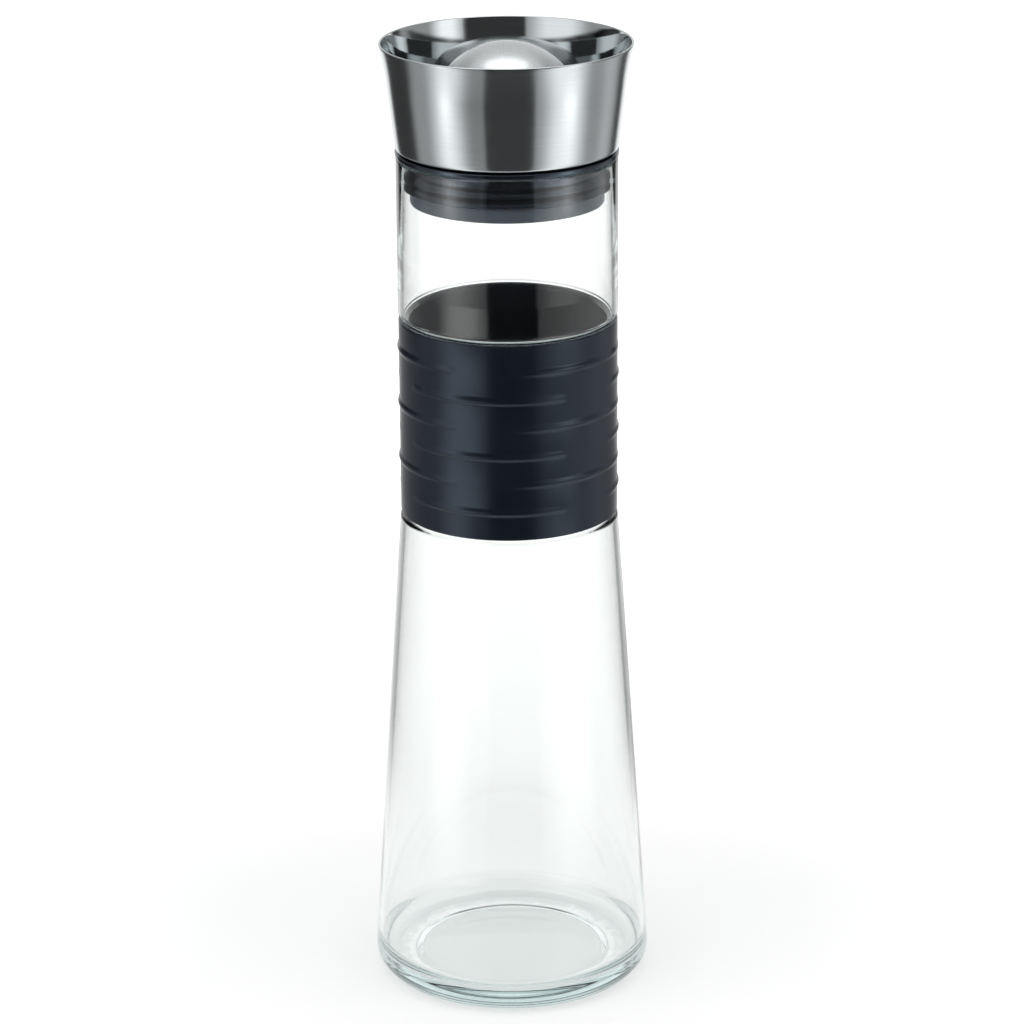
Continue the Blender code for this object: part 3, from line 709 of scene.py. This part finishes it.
grow(grip, raised_ribs(), {
    "Foot": grip_low.z,
    "Length": grip_length,
    "Face Radius": GRIP_RADIUS,
    "Rows": RIB_ROWS,
    "Ribs per Row": RIBS_PER_ROW,
    "Sweep": RIB_SWEEP,
    "Width": RIB_WIDTH,
    "Height": RIB_HEIGHT,
    "Material": grip_silicone,
})
stands_for(grip, "grip_sleeve", "bottle")


# Pouring collar. Deep-drawn stainless steel with a flared lip. It is brushed round the outside
# and polished bright inside, and its floor turns in over the seal.
SHEET = 0.0008
SHEET_ROUND = 0.3 * SHEET
COLLAR_FLOOR_HOLE = 0.0289
COLLAR_TAPER = 0.0040
COLLAR_LIP_HEIGHT = 0.0120
COLLAR_LIP_FLARE = 0.0009
COLLAR_RIM_ROUND = 0.49 * SHEET
COLLAR_CORNER = 0.0015
COLLAR_STEPS = 24
COLLAR_SEGMENTS = 288
BRUSHED_DARK = (0.56, 0.592, 0.605, 1.0)
BRUSHED_PALE = (0.597, 0.632, 0.645, 1.0)
MIRROR_DARK = (0.55, 0.583, 0.595, 1.0)
MIRROR_PALE = (0.585, 0.62, 0.632, 1.0)
MARK_BREAKS = 2.5
AXIS_CORE = 1e-5
UNEVEN_SIZE = 1 / 45
ACROSS_LINES = 0.25


def turning_marks():
    """Fine lines that run round the axis, on walls and flat faces alike, and slow unevenness."""
    group, given, result = shader_group("turning_marks", ["Line Pitch"], ["Lines", "Unevenness"])
    place = add_node(group, "ShaderNodeTexCoord").outputs["Object"]
    parts = add_node(group, "ShaderNodeSeparateXYZ")
    group.links.new(place, parts.inputs[0])
    x, y, z = parts.outputs
    radius = axis_distance(group, x, y)
    around = add_node(group, "ShaderNodeCombineXYZ")
    for value, name in ((x, "X"), (y, "Y")):
        share = calc(group, "DIVIDE", value, calc(group, "MAXIMUM", radius, AXIS_CORE))
        group.links.new(calc(group, "MULTIPLY", share, MARK_BREAKS), around.inputs[name])
    group.links.new(calc(group, "DIVIDE", z, given["Line Pitch"]), around.inputs["Z"])
    lines = add_node(group, "ShaderNodeTexNoise", {"Scale": 1.0, "Detail": 2.0}, noise_dimensions="4D")
    group.links.new(around.outputs[0], lines.inputs["Vector"])
    group.links.new(calc(group, "DIVIDE", radius, given["Line Pitch"]), lines.inputs["W"])
    slow = add_node(group, "ShaderNodeTexNoise", {"Scale": 1 / UNEVEN_SIZE, "Detail": 2.0})
    group.links.new(place, slow.inputs["Vector"])
    for noise, name in ((lines, "Lines"), (slow, "Unevenness")):
        group.links.new(ramp(group, noise.outputs["Fac"], NOISE_LOW, NOISE_HIGH), result[name])
    return group


def worked_steel(name, dark, pale, smooth, rough, line_pitch, line_depth, wave_depth, stretch=0.0):
    """Stainless steel with turning marks: two tones, two roughnesses, lines and shallow waves."""
    material, tree, shader = new_material(name)
    shader.inputs["Metallic"].default_value = 1.0
    shader.inputs["Anisotropic"].default_value = stretch
    marks = add_node(tree, "ShaderNodeGroup", {"Line Pitch": line_pitch}, node_tree=TURNING_MARKS)
    line_share = marks.outputs["Lines"]
    tree.links.new(tone_between(tree, dark, pale, line_share), shader.inputs["Base Color"])
    tree.links.new(ramp(tree, line_share, 0.0, 1.0, smooth, rough), shader.inputs["Roughness"])
    waves = bumped(tree, marks.outputs["Unevenness"], wave_depth)
    lines = bumped(tree, line_share, line_depth)
    tree.links.new(waves.outputs["Normal"], lines.inputs["Normal"])
    tree.links.new(lines.outputs["Normal"], shader.inputs["Normal"])
    if stretch:
        grain = add_node(tree, "ShaderNodeTangent", direction_type="RADIAL", axis="Z")
        tree.links.new(grain.outputs[0], shader.inputs["Tangent"])
        shader.inputs["Anisotropic Rotation"].default_value = ACROSS_LINES
    return material


def collar_widening(height):
    """How far the collar's outside stands beyond its foot radius at this height."""
    lip_share = max(0.0, (height - collar_height + COLLAR_LIP_HEIGHT) / COLLAR_LIP_HEIGHT)
    return COLLAR_TAPER * height / collar_height + COLLAR_LIP_FLARE * lip_share ** 2


TURNING_MARKS = turning_marks()
brushed_steel = worked_steel(
    "brushed_steel", BRUSHED_DARK, BRUSHED_PALE, smooth=0.17, rough=0.21, line_pitch=0.00025,
    line_depth=0.0000008, wave_depth=0.000002, stretch=0.8)
mirror_steel = worked_steel(
    "mirror_steel", MIRROR_DARK, MIRROR_PALE, smooth=0.03, rough=0.07, line_pitch=0.0006,
    line_depth=0.0000004, wave_depth=0.00002)
collar_low, collar_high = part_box("pour_collar")
collar_height = collar_high.z - collar_low.z
wall_levels = [collar_height - (collar_height - COLLAR_CORNER) * step / COLLAR_STEPS
               for step in range(COLLAR_STEPS)]
outside = [
    (NECK_RADIUS + collar_widening(height), collar_low.z + height, 0) for height in wall_levels]
inside = [(radius - SHEET, height, 0) for radius, height, _ in reversed(outside)]
outside[0] = (*outside[0][:2], COLLAR_RIM_ROUND)
inside[-1] = (*inside[-1][:2], COLLAR_RIM_ROUND)
collar = turned("flared_collar", rounded(outside + [
    (NECK_RADIUS, collar_low.z, COLLAR_CORNER),
    (COLLAR_FLOOR_HOLE, collar_low.z, SHEET_ROUND),
    (COLLAR_FLOOR_HOLE, collar_low.z + SHEET, SHEET_ROUND),
    (NECK_RADIUS - SHEET, collar_low.z + SHEET, COLLAR_CORNER - SHEET),
] + inside), COLLAR_SEGMENTS, brushed_steel, mirror_steel)
for face in collar.data.polygons:
    face.material_index = int(looks_inside(face))
stands_for(collar, "pour_collar", "stopper")


# Plug body. The stopper's core, moulded in black plastic: a tube pushed down through the collar's
# floor until its flange rests there, with a ledge in its bore.
PLUG_RADIUS = 0.0286
PLUG_BORE = 0.0250
PLUG_FLANGE = 0.0024
LEDGE_WIDTH = 0.0015
MOULD_ROUND = 0.0004
RING_SEGMENTS = 192
PLUG_DARK = (0.012, 0.012, 0.014, 1.0)
PLUG_PALE = (0.020, 0.020, 0.022, 1.0)

black_plastic = moulded(
    "black_plastic", PLUG_DARK, PLUG_PALE, smooth=0.36, rough=0.48, grain_size=0.0005,
    grain_depth=0.00002)
plug_low, plug_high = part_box("plug_body")
guide_low, guide_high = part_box("guide_spider")
ledge_level = guide_low.z - TOUCH_GAP
ledge_bore = PLUG_BORE - LEDGE_WIDTH
plug = turned("moulded_plug", rounded([
    (PLUG_BORE, plug_high.z, MOULD_ROUND),
    (plug_high.x, plug_high.z, MOULD_ROUND),
    (plug_high.x, plug_high.z - PLUG_FLANGE, MOULD_ROUND),
    (PLUG_RADIUS, plug_high.z - PLUG_FLANGE, MOULD_ROUND),
    (PLUG_RADIUS, plug_low.z, MOULD_ROUND),
    (ledge_bore, plug_low.z, MOULD_ROUND),
    (ledge_bore, ledge_level, MOULD_ROUND),
    (PLUG_BORE, ledge_level, MOULD_ROUND),
]), RING_SEGMENTS, black_plastic)
stands_for(plug, "plug_body", "stopper")


# Neck seal. A black silicone ring: its flange rests on the glass rim under the collar, and
# two thin lips wipe the inside of the neck.
SEAL_FLANGE = 0.0015
SEAL_BODY = 0.0309
SEAL_BORE = COLLAR_FLOOR_HOLE
LIP_RADIUS = 0.03285
LIP_COUNT = 2
LIP_PITCH = 0.0031
LIP_ROOT = 0.0024
LIP_TIP = 0.0006
LIP_TIP_ROUND = 0.3 * LIP_TIP
LIP_OFFSET = 0.0003
LIP_FOOT_ROUND = 0.4 * LIP_OFFSET
SEAL_ROUND = 0.00035
SEAL_DARK = (0.004, 0.004, 0.006, 1.0)
SEAL_PALE = (0.007, 0.007, 0.010, 1.0)

black_silicone = moulded(
    "black_silicone", SEAL_DARK, SEAL_PALE, smooth=0.09, rough=0.14, grain_size=0.0003,
    grain_depth=0.000002, sheen=COOL_SHEEN, shine=1.0)
seal_low, seal_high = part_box("neck_seal")
seal_corners = [
    (SEAL_BORE, seal_high.z, SEAL_ROUND),
    (seal_high.x, seal_high.z, SEAL_ROUND),
    (seal_high.x, seal_high.z - SEAL_FLANGE, SEAL_ROUND),
    (SEAL_BODY, seal_high.z - SEAL_FLANGE, SEAL_ROUND),
]
for index in reversed(range(LIP_COUNT)):
    lip_foot = seal_low.z + LIP_OFFSET + index * LIP_PITCH
    seal_corners += [
        (SEAL_BODY, lip_foot + LIP_ROOT, SEAL_ROUND),
        (LIP_RADIUS, lip_foot + LIP_TIP, LIP_TIP_ROUND),
        (LIP_RADIUS, lip_foot, LIP_TIP_ROUND),
        (SEAL_BODY, lip_foot, LIP_FOOT_ROUND),
    ]
seal_corners += [(SEAL_BODY, seal_low.z, LIP_FOOT_ROUND), (SEAL_BORE, seal_low.z, SEAL_ROUND)]
seal = turned("lipped_seal", rounded(seal_corners), RING_SEGMENTS, black_silicone)
stands_for(seal, "neck_seal", "stopper")


# Clamp ring. The grey skirt under the seal: a moulded cup that snaps on the plug's foot and
# holds the seal up against the collar.
CLAMP_BORE = 0.0235
CLAMP_FLOOR = 0.0016
CLAMP_ROUND = 0.0005
CLAMP_DARK = (0.056, 0.069, 0.089, 1.0)
CLAMP_PALE = (0.080, 0.097, 0.123, 1.0)

grey_plastic = moulded(
    "grey_plastic", CLAMP_DARK, CLAMP_PALE, smooth=0.28, rough=0.38, grain_size=0.0005,
    grain_depth=0.000006)
clamp_low, clamp_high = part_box("clamp_ring")
clamp = turned("clamp_skirt", rounded([
    (SEAL_BORE, clamp_high.z, CLAMP_ROUND),
    (SEAL_BODY, clamp_high.z, CLAMP_ROUND),
    (SEAL_BODY, clamp_low.z, CLAMP_ROUND),
    (CLAMP_BORE, clamp_low.z, CLAMP_ROUND),
    (CLAMP_BORE, clamp_low.z + CLAMP_FLOOR, CLAMP_ROUND),
    (SEAL_BORE, clamp_low.z + CLAMP_FLOOR, CLAMP_ROUND),
]), RING_SEGMENTS, grey_plastic)
stands_for(clamp, "clamp_ring", "stopper")


# Guide spider. A moulded ring that drops on the ledge in the plug's bore, with three arms that
# hold a hub for the stem's bush in the middle of the flow.
RING_WIDTH = 0.0047
RING_HEIGHT = 0.0040
HUB_RADIUS = 0.0060
HUB_BORE = 0.00395
ARM_COUNT = 3
ARM_WIDTH = 0.0030
ARM_HEIGHT = 0.0035
ARM_ROUND_STEPS = 4
SMALL_SEGMENTS = 96


def square_ring(low, high, bore, radius, rounding):
    """Outline of a plain ring between two heights, with its four edges rounded."""
    corners = ((bore, high), (radius, high), (radius, low), (bore, low))
    return rounded([(*corner, rounding) for corner in corners])


def absorb(piece, other):
    """Add another piece's mesh to a piece, and drop the other."""
    shape = bmesh.new()
    shape.from_mesh(piece.data)
    shape.from_mesh(other.data)
    shape.to_mesh(piece.data)
    shape.free()
    bpy.data.objects.remove(other)


def spokes():
    """Tree that joins a hub to its ring by arms of a rounded section, evenly spread from the back."""
    number = "NodeSocketFloat"
    group, given, result = node_tree("spokes", (
        ("Hub and Ring", "NodeSocketGeometry"), ("Count", "NodeSocketInt"), ("Start", number),
        ("End", number), ("Width", number), ("Height", number), ("Rounding", number),
        ("Foot", number), ("Material", "NodeSocketMaterial"),
    ))
    middle = calc(group, "MULTIPLY_ADD", given["Height"], 0.5, given["Foot"])
    line = add_node(group, "GeometryNodeCurvePrimitiveLine")
    for end in ("Start", "End"):
        point = add_node(group, "ShaderNodeCombineXYZ")
        group.links.new(given[end], point.inputs["X"])
        group.links.new(middle, point.inputs["Z"])
        group.links.new(point.outputs[0], line.inputs[end])
    section = add_node(group, "GeometryNodeCurvePrimitiveQuadrilateral")
    group.links.new(given["Width"], section.inputs["Width"])
    group.links.new(given["Height"], section.inputs["Height"])
    soft_section = add_node(group, "GeometryNodeFilletCurve", {"Count": ARM_ROUND_STEPS}, mode="POLY")
    group.links.new(section.outputs[0], soft_section.inputs["Curve"])
    group.links.new(given["Rounding"], soft_section.inputs["Radius"])
    arm = add_node(group, "GeometryNodeCurveToMesh", {"Fill Caps": True})
    group.links.new(line.outputs[0], arm.inputs["Curve"])
    group.links.new(soft_section.outputs[0], arm.inputs["Profile Curve"])

    places = add_node(group, "GeometryNodePoints")
    group.links.new(given["Count"], places.inputs["Count"])
    step = calc(group, "DIVIDE", 2 * pi, given["Count"])
    index = add_node(group, "GeometryNodeInputIndex").outputs[0]
    turn = add_node(group, "ShaderNodeCombineXYZ")
    group.links.new(calc(group, "MULTIPLY_ADD", index, step, pi / 2), turn.inputs["Z"])
    arms = add_node(group, "GeometryNodeInstanceOnPoints")
    group.links.new(places.outputs[0], arms.inputs["Points"])
    group.links.new(arm.outputs[0], arms.inputs["Instance"])
    group.links.new(turn.outputs[0], arms.inputs["Rotation"])
    real_arms = add_node(group, "GeometryNodeRealizeInstances")
    group.links.new(arms.outputs[0], real_arms.inputs[0])
    union = add_node(group, "GeometryNodeMeshBoolean", operation="UNION", solver="EXACT")
    group.links.new(given["Hub and Ring"], union.inputs["Mesh 2"])
    group.links.new(real_arms.outputs[0], union.inputs["Mesh 2"])
    finish_tree(group, union.outputs[0], given["Material"], result)
    return group


ring_bore = guide_high.x - RING_WIDTH
ring_top = guide_low.z + RING_HEIGHT
guide_outline = square_ring(guide_low.z, ring_top, ring_bore, guide_high.x, MOULD_ROUND)
guide = turned("three_arm_guide", guide_outline, RING_SEGMENTS)
hub_outline = square_ring(guide_low.z, guide_high.z, HUB_BORE, HUB_RADIUS, MOULD_ROUND)
hub = turned("hub", hub_outline, SMALL_SEGMENTS)
absorb(guide, hub)
grow(guide, spokes(), {
    "Count": ARM_COUNT,
    "Start": (HUB_BORE + HUB_RADIUS) / 2,
    "End": (ring_bore + guide_high.x) / 2,
    "Width": ARM_WIDTH,
    "Height": ARM_HEIGHT,
    "Rounding": MOULD_ROUND,
    "Foot": guide_low.z,
    "Material": black_plastic,
})
guide.data.set_sharp_from_angle(angle=SHARP_ANGLE)
stands_for(guide, "guide_spider", "stopper")


# Guide bush. A plain bearing of pale, slippery plastic, pressed into the hub from above until its
# flange rests on it.
BUSH_RADIUS = 0.00365
BUSH_BORE = 0.00215
BUSH_FLANGE = 0.0010
BUSH_ROUND = 0.0002
BUSH_DARK = (0.70, 0.69, 0.65, 1.0)
BUSH_PALE = (0.80, 0.79, 0.75, 1.0)

bush_plastic = moulded(
    "bush_plastic", BUSH_DARK, BUSH_PALE, smooth=0.34, rough=0.46, grain_size=0.0005,
    grain_depth=0.00001)
bush_low, bush_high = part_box("guide_bush")
bush = turned("bearing_bush", rounded([
    (BUSH_BORE, bush_high.z, BUSH_ROUND),
    (bush_high.x, bush_high.z, BUSH_ROUND),
    (bush_high.x, bush_high.z - BUSH_FLANGE, BUSH_ROUND),
    (BUSH_RADIUS, bush_high.z - BUSH_FLANGE, BUSH_ROUND),
    (BUSH_RADIUS, bush_low.z, BUSH_ROUND),
    (BUSH_BORE, bush_low.z, BUSH_ROUND),
]), SMALL_SEGMENTS, bush_plastic)
stands_for(bush, "guide_bush", "stopper")


# Dish gasket. A flat ring punched from black silicone sheet. It lies on the plug's flange, and
# the dish rests on it.
GASKET_BORE = 0.0253
GASKET_ROUND = 0.0002

gasket_low, gasket_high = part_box("dish_gasket")
gasket_outline = square_ring(
    gasket_low.z, gasket_high.z, GASKET_BORE, gasket_high.x, GASKET_ROUND)
gasket = turned("flat_gasket", gasket_outline, RING_SEGMENTS, black_silicone)
stands_for(gasket, "dish_gasket", "stopper")


# Drip dish. A polished steel pressing round the dome: a sloped rim that drains to a flat land,
# and a turned-down lip that is the valve's seat.
SEAT_RADIUS = 0.0210
LAND_RADIUS = 0.0275
SEAT_BEND = 0.0012
DISH_BEND = 0.0020

dish_low, dish_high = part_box("drip_dish")
ring_low, ring_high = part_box("dome_seal")
land_level = ring_low.z - TOUCH_GAP
dish = turned("polished_dish", rounded([
    (SEAT_RADIUS, dish_low.z, SHEET_ROUND),
    (SEAT_RADIUS, land_level, SEAT_BEND),
    (LAND_RADIUS, land_level, DISH_BEND),
    (dish_high.x, dish_high.z, SHEET_ROUND),
    (dish_high.x, dish_high.z - SHEET, SHEET_ROUND),
    (LAND_RADIUS, land_level - SHEET, DISH_BEND),
    (SEAT_RADIUS + SHEET, land_level - SHEET, SEAT_BEND - SHEET),
    (SEAT_RADIUS + SHEET, dish_low.z, SHEET_ROUND),
]), RING_SEGMENTS, mirror_steel)
stands_for(dish, "drip_dish", "stopper")


# Dome carrier. A moulded disc that snaps into the dome's edge: a groove for the dome's seal, and a
# boss that the stem is bolted through.
CARRIER_FLANGE = 0.0207
GROOVE_RADIUS = 0.0196
BOSS_RADIUS = 0.0070
CARRIER_BORE = 0.0023

carrier_low, carrier_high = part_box("dome_carrier")
dome_low, dome_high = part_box("valve_dome")
equator = dome_high.z - dome_high.x
carrier = turned("snap_carrier", rounded([
    (CARRIER_BORE, carrier_high.z, MOULD_ROUND),
    (BOSS_RADIUS, carrier_high.z, MOULD_ROUND),
    (BOSS_RADIUS, equator, MOULD_ROUND),
    (carrier_high.x, equator, MOULD_ROUND),
    (carrier_high.x, dome_low.z, MOULD_ROUND),
    (GROOVE_RADIUS, dome_low.z, MOULD_ROUND),
    (GROOVE_RADIUS, land_level, MOULD_ROUND),
    (CARRIER_FLANGE, land_level, MOULD_ROUND),
    (CARRIER_FLANGE, carrier_low.z, MOULD_ROUND),
    (CARRIER_BORE, carrier_low.z, MOULD_ROUND),
]), RING_SEGMENTS, black_plastic)
stands_for(carrier, "dome_carrier", "valve")


# Dome seal. A black silicone ring, stretched into the carrier's groove. Its thin outer lip shuts
# on the dish's flat land.
RING_BORE = 0.0199
RING_ROUND = 0.0002

lip_ring = turned("lip_ring", rounded([
    (RING_BORE, ring_high.z, RING_ROUND),
    (dome_high.x, ring_high.z, RING_ROUND),
    (ring_high.x, (ring_low.z + ring_high.z) / 2, RING_ROUND),
    (ring_high.x, ring_low.z, RING_ROUND),
    (RING_BORE, ring_low.z, RING_ROUND),
]), RING_SEGMENTS, black_silicone)
stands_for(lip_ring, "dome_seal", "valve")


# Valve stem. Turned stainless rod: a thread on top for the nut, a shoulder that pulls up against
# the carrier, and a thinner tip for the weight.
STEM_RADIUS = 0.0020
TIP_RADIUS = 0.0015
STEM_SHOULDER = 0.0010
STEM_CHAMFER = 0.0003
STEM_ROUND = 0.0001
THREAD_PITCH = 0.0007
THREAD_DEPTH = 0.0003
STEM_DARK = (0.50, 0.50, 0.49, 1.0)
STEM_PALE = (0.62, 0.62, 0.61, 1.0)

turned_steel = worked_steel(
    "turned_steel", STEM_DARK, STEM_PALE, smooth=0.22, rough=0.36, line_pitch=0.0004,
    line_depth=0.000004, wave_depth=0.000004)
stem_low, stem_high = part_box("valve_stem")
weight_low, weight_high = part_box("closing_weight")
shoulder_top = carrier_low.z - TOUCH_GAP
tip_top = weight_high.z + TOUCH_GAP
thread_root = STEM_RADIUS - THREAD_DEPTH
stem_corners = [(0.0, stem_high.z, 0), (thread_root, stem_high.z, 0)]
thread_turns = int((stem_high.z - carrier_high.z) / THREAD_PITCH)
for index in range(thread_turns):
    crest = stem_high.z - THREAD_PITCH * (index + 0.5)
    stem_corners += [(STEM_RADIUS, crest, 0), (thread_root, crest - THREAD_PITCH / 2, 0)]
stem_corners += [
    (STEM_RADIUS, stem_corners[-1][1] - THREAD_DEPTH, 0),
    (STEM_RADIUS, shoulder_top, STEM_ROUND),
    (stem_high.x, shoulder_top, STEM_ROUND),
    (stem_high.x, shoulder_top - STEM_SHOULDER, STEM_ROUND),
    (STEM_RADIUS, shoulder_top - STEM_SHOULDER, STEM_ROUND),
    (STEM_RADIUS, tip_top, STEM_ROUND),
    (TIP_RADIUS, tip_top, STEM_ROUND),
    (TIP_RADIUS, stem_low.z + STEM_CHAMFER, 0),
    (TIP_RADIUS - STEM_CHAMFER, stem_low.z, 0),
    (0.0, stem_low.z, 0),
]
stem = turned("turned_stem", rounded(stem_corners), SMALL_SEGMENTS, turned_steel, closed=False)
stands_for(stem, "valve_stem", "valve")


# Stem nut. A stainless hexagon nut with both faces chamfered, which clamps the carrier on the
# stem's shoulder inside the dome.
NUT_ACROSS_FLATS = 0.0070
NUT_BORE = 0.0023
NUT_CHAMFER = 0.0004

nut_low, nut_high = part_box("stem_nut")
nut_flat = NUT_ACROSS_FLATS / 2
nut_corner = nut_flat / cos(pi / 6)
nut = turned("hexagon_nut", [
    (NUT_BORE, nut_high.z - NUT_CHAMFER / 2),
    (NUT_BORE + NUT_CHAMFER / 2, nut_high.z),
    (nut_flat, nut_high.z),
    (nut_corner, nut_high.z - NUT_CHAMFER),
    (nut_corner, nut_low.z + NUT_CHAMFER),
    (nut_flat, nut_low.z),
    (NUT_BORE + NUT_CHAMFER / 2, nut_low.z),
    (NUT_BORE, nut_low.z + NUT_CHAMFER / 2),
], SMALL_SEGMENTS, turned_steel)
bar = built("bar", lambda shape: bmesh.ops.create_cone(
    shape, cap_ends=True, segments=6, radius1=nut_corner, radius2=nut_corner,
    depth=nut_high.z - nut_low.z + 2 * NUT_CHAMFER,
    matrix=Matrix.Translation((0.0, 0.0, (nut_low.z + nut_high.z) / 2))))
flats = nut.modifiers.new("flats", "BOOLEAN")
flats.operation = "INTERSECT"
flats.object = bar
plain_from(nut)
bpy.data.objects.remove(bar)
nut.data.set_sharp_from_angle(angle=SHARP_ANGLE / 2)
stands_for(nut, "stem_nut", "valve")


# Valve dome. A spun steel half sphere with a short straight edge, polished to a soft sheen.
# It rides on the valve's stem and covers the seat.
DOME_STEPS = 40
DOME_SEGMENTS = 192
DOME_EDGE_ROUND = 0.4 * SHEET
DOME_DARK = (0.61, 0.635, 0.645, 1.0)
DOME_PALE = (0.64, 0.665, 0.675, 1.0)


def dome_arc(radius):
    """Outline of a quarter turn from the dome's top down to its equator."""
    angles = [radians(90) * step / DOME_STEPS for step in range(DOME_STEPS + 1)]
    return [(radius * sin(angle), equator + radius * cos(angle), 0) for angle in angles]


dome_steel = worked_steel(
    "dome_steel", DOME_DARK, DOME_PALE, smooth=0.25, rough=0.29, line_pitch=0.0008,
    line_depth=0.00000005, wave_depth=0.000003)
dome_radius = dome_high.x
dome_bore = dome_radius - SHEET
dome = turned("spun_dome", rounded(dome_arc(dome_radius) + [
    (dome_radius, dome_low.z, DOME_EDGE_ROUND),
    (dome_bore, dome_low.z, DOME_EDGE_ROUND),
] + dome_arc(dome_bore)[::-1]), DOME_SEGMENTS, dome_steel, closed=False)
stands_for(dome, "valve_dome", "valve")


# Closing weight. A turned steel disc under the hub. It pulls the valve shut while the carafe
# stands, and stops the valve's lift.
WEIGHT_EDGE = 0.0006
WEIGHT_BORE = 0.0018

weight = turned("turned_weight", [
    (WEIGHT_BORE, weight_high.z),
    (weight_high.x - WEIGHT_EDGE, weight_high.z),
    (weight_high.x, weight_high.z - WEIGHT_EDGE),
    (weight_high.x, weight_low.z + WEIGHT_EDGE),
    (weight_high.x - WEIGHT_EDGE, weight_low.z),
    (WEIGHT_BORE, weight_low.z),
], SMALL_SEGMENTS, turned_steel)
stands_for(weight, "closing_weight", "valve")


# Stem clip. A push-on ring punched from spring steel. It grips the stem's tip under the closing
# weight, and keeps the weight on.
CLIP_BORE = 0.0018
CLIP_ROUND = 0.00015

clip_low, clip_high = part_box("stem_clip")
clip_outline = square_ring(clip_low.z, clip_high.z, CLIP_BORE, clip_high.x, CLIP_ROUND)
clip = turned("push_on_clip", clip_outline, SMALL_SEGMENTS, turned_steel)
stands_for(clip, "stem_clip", "valve")
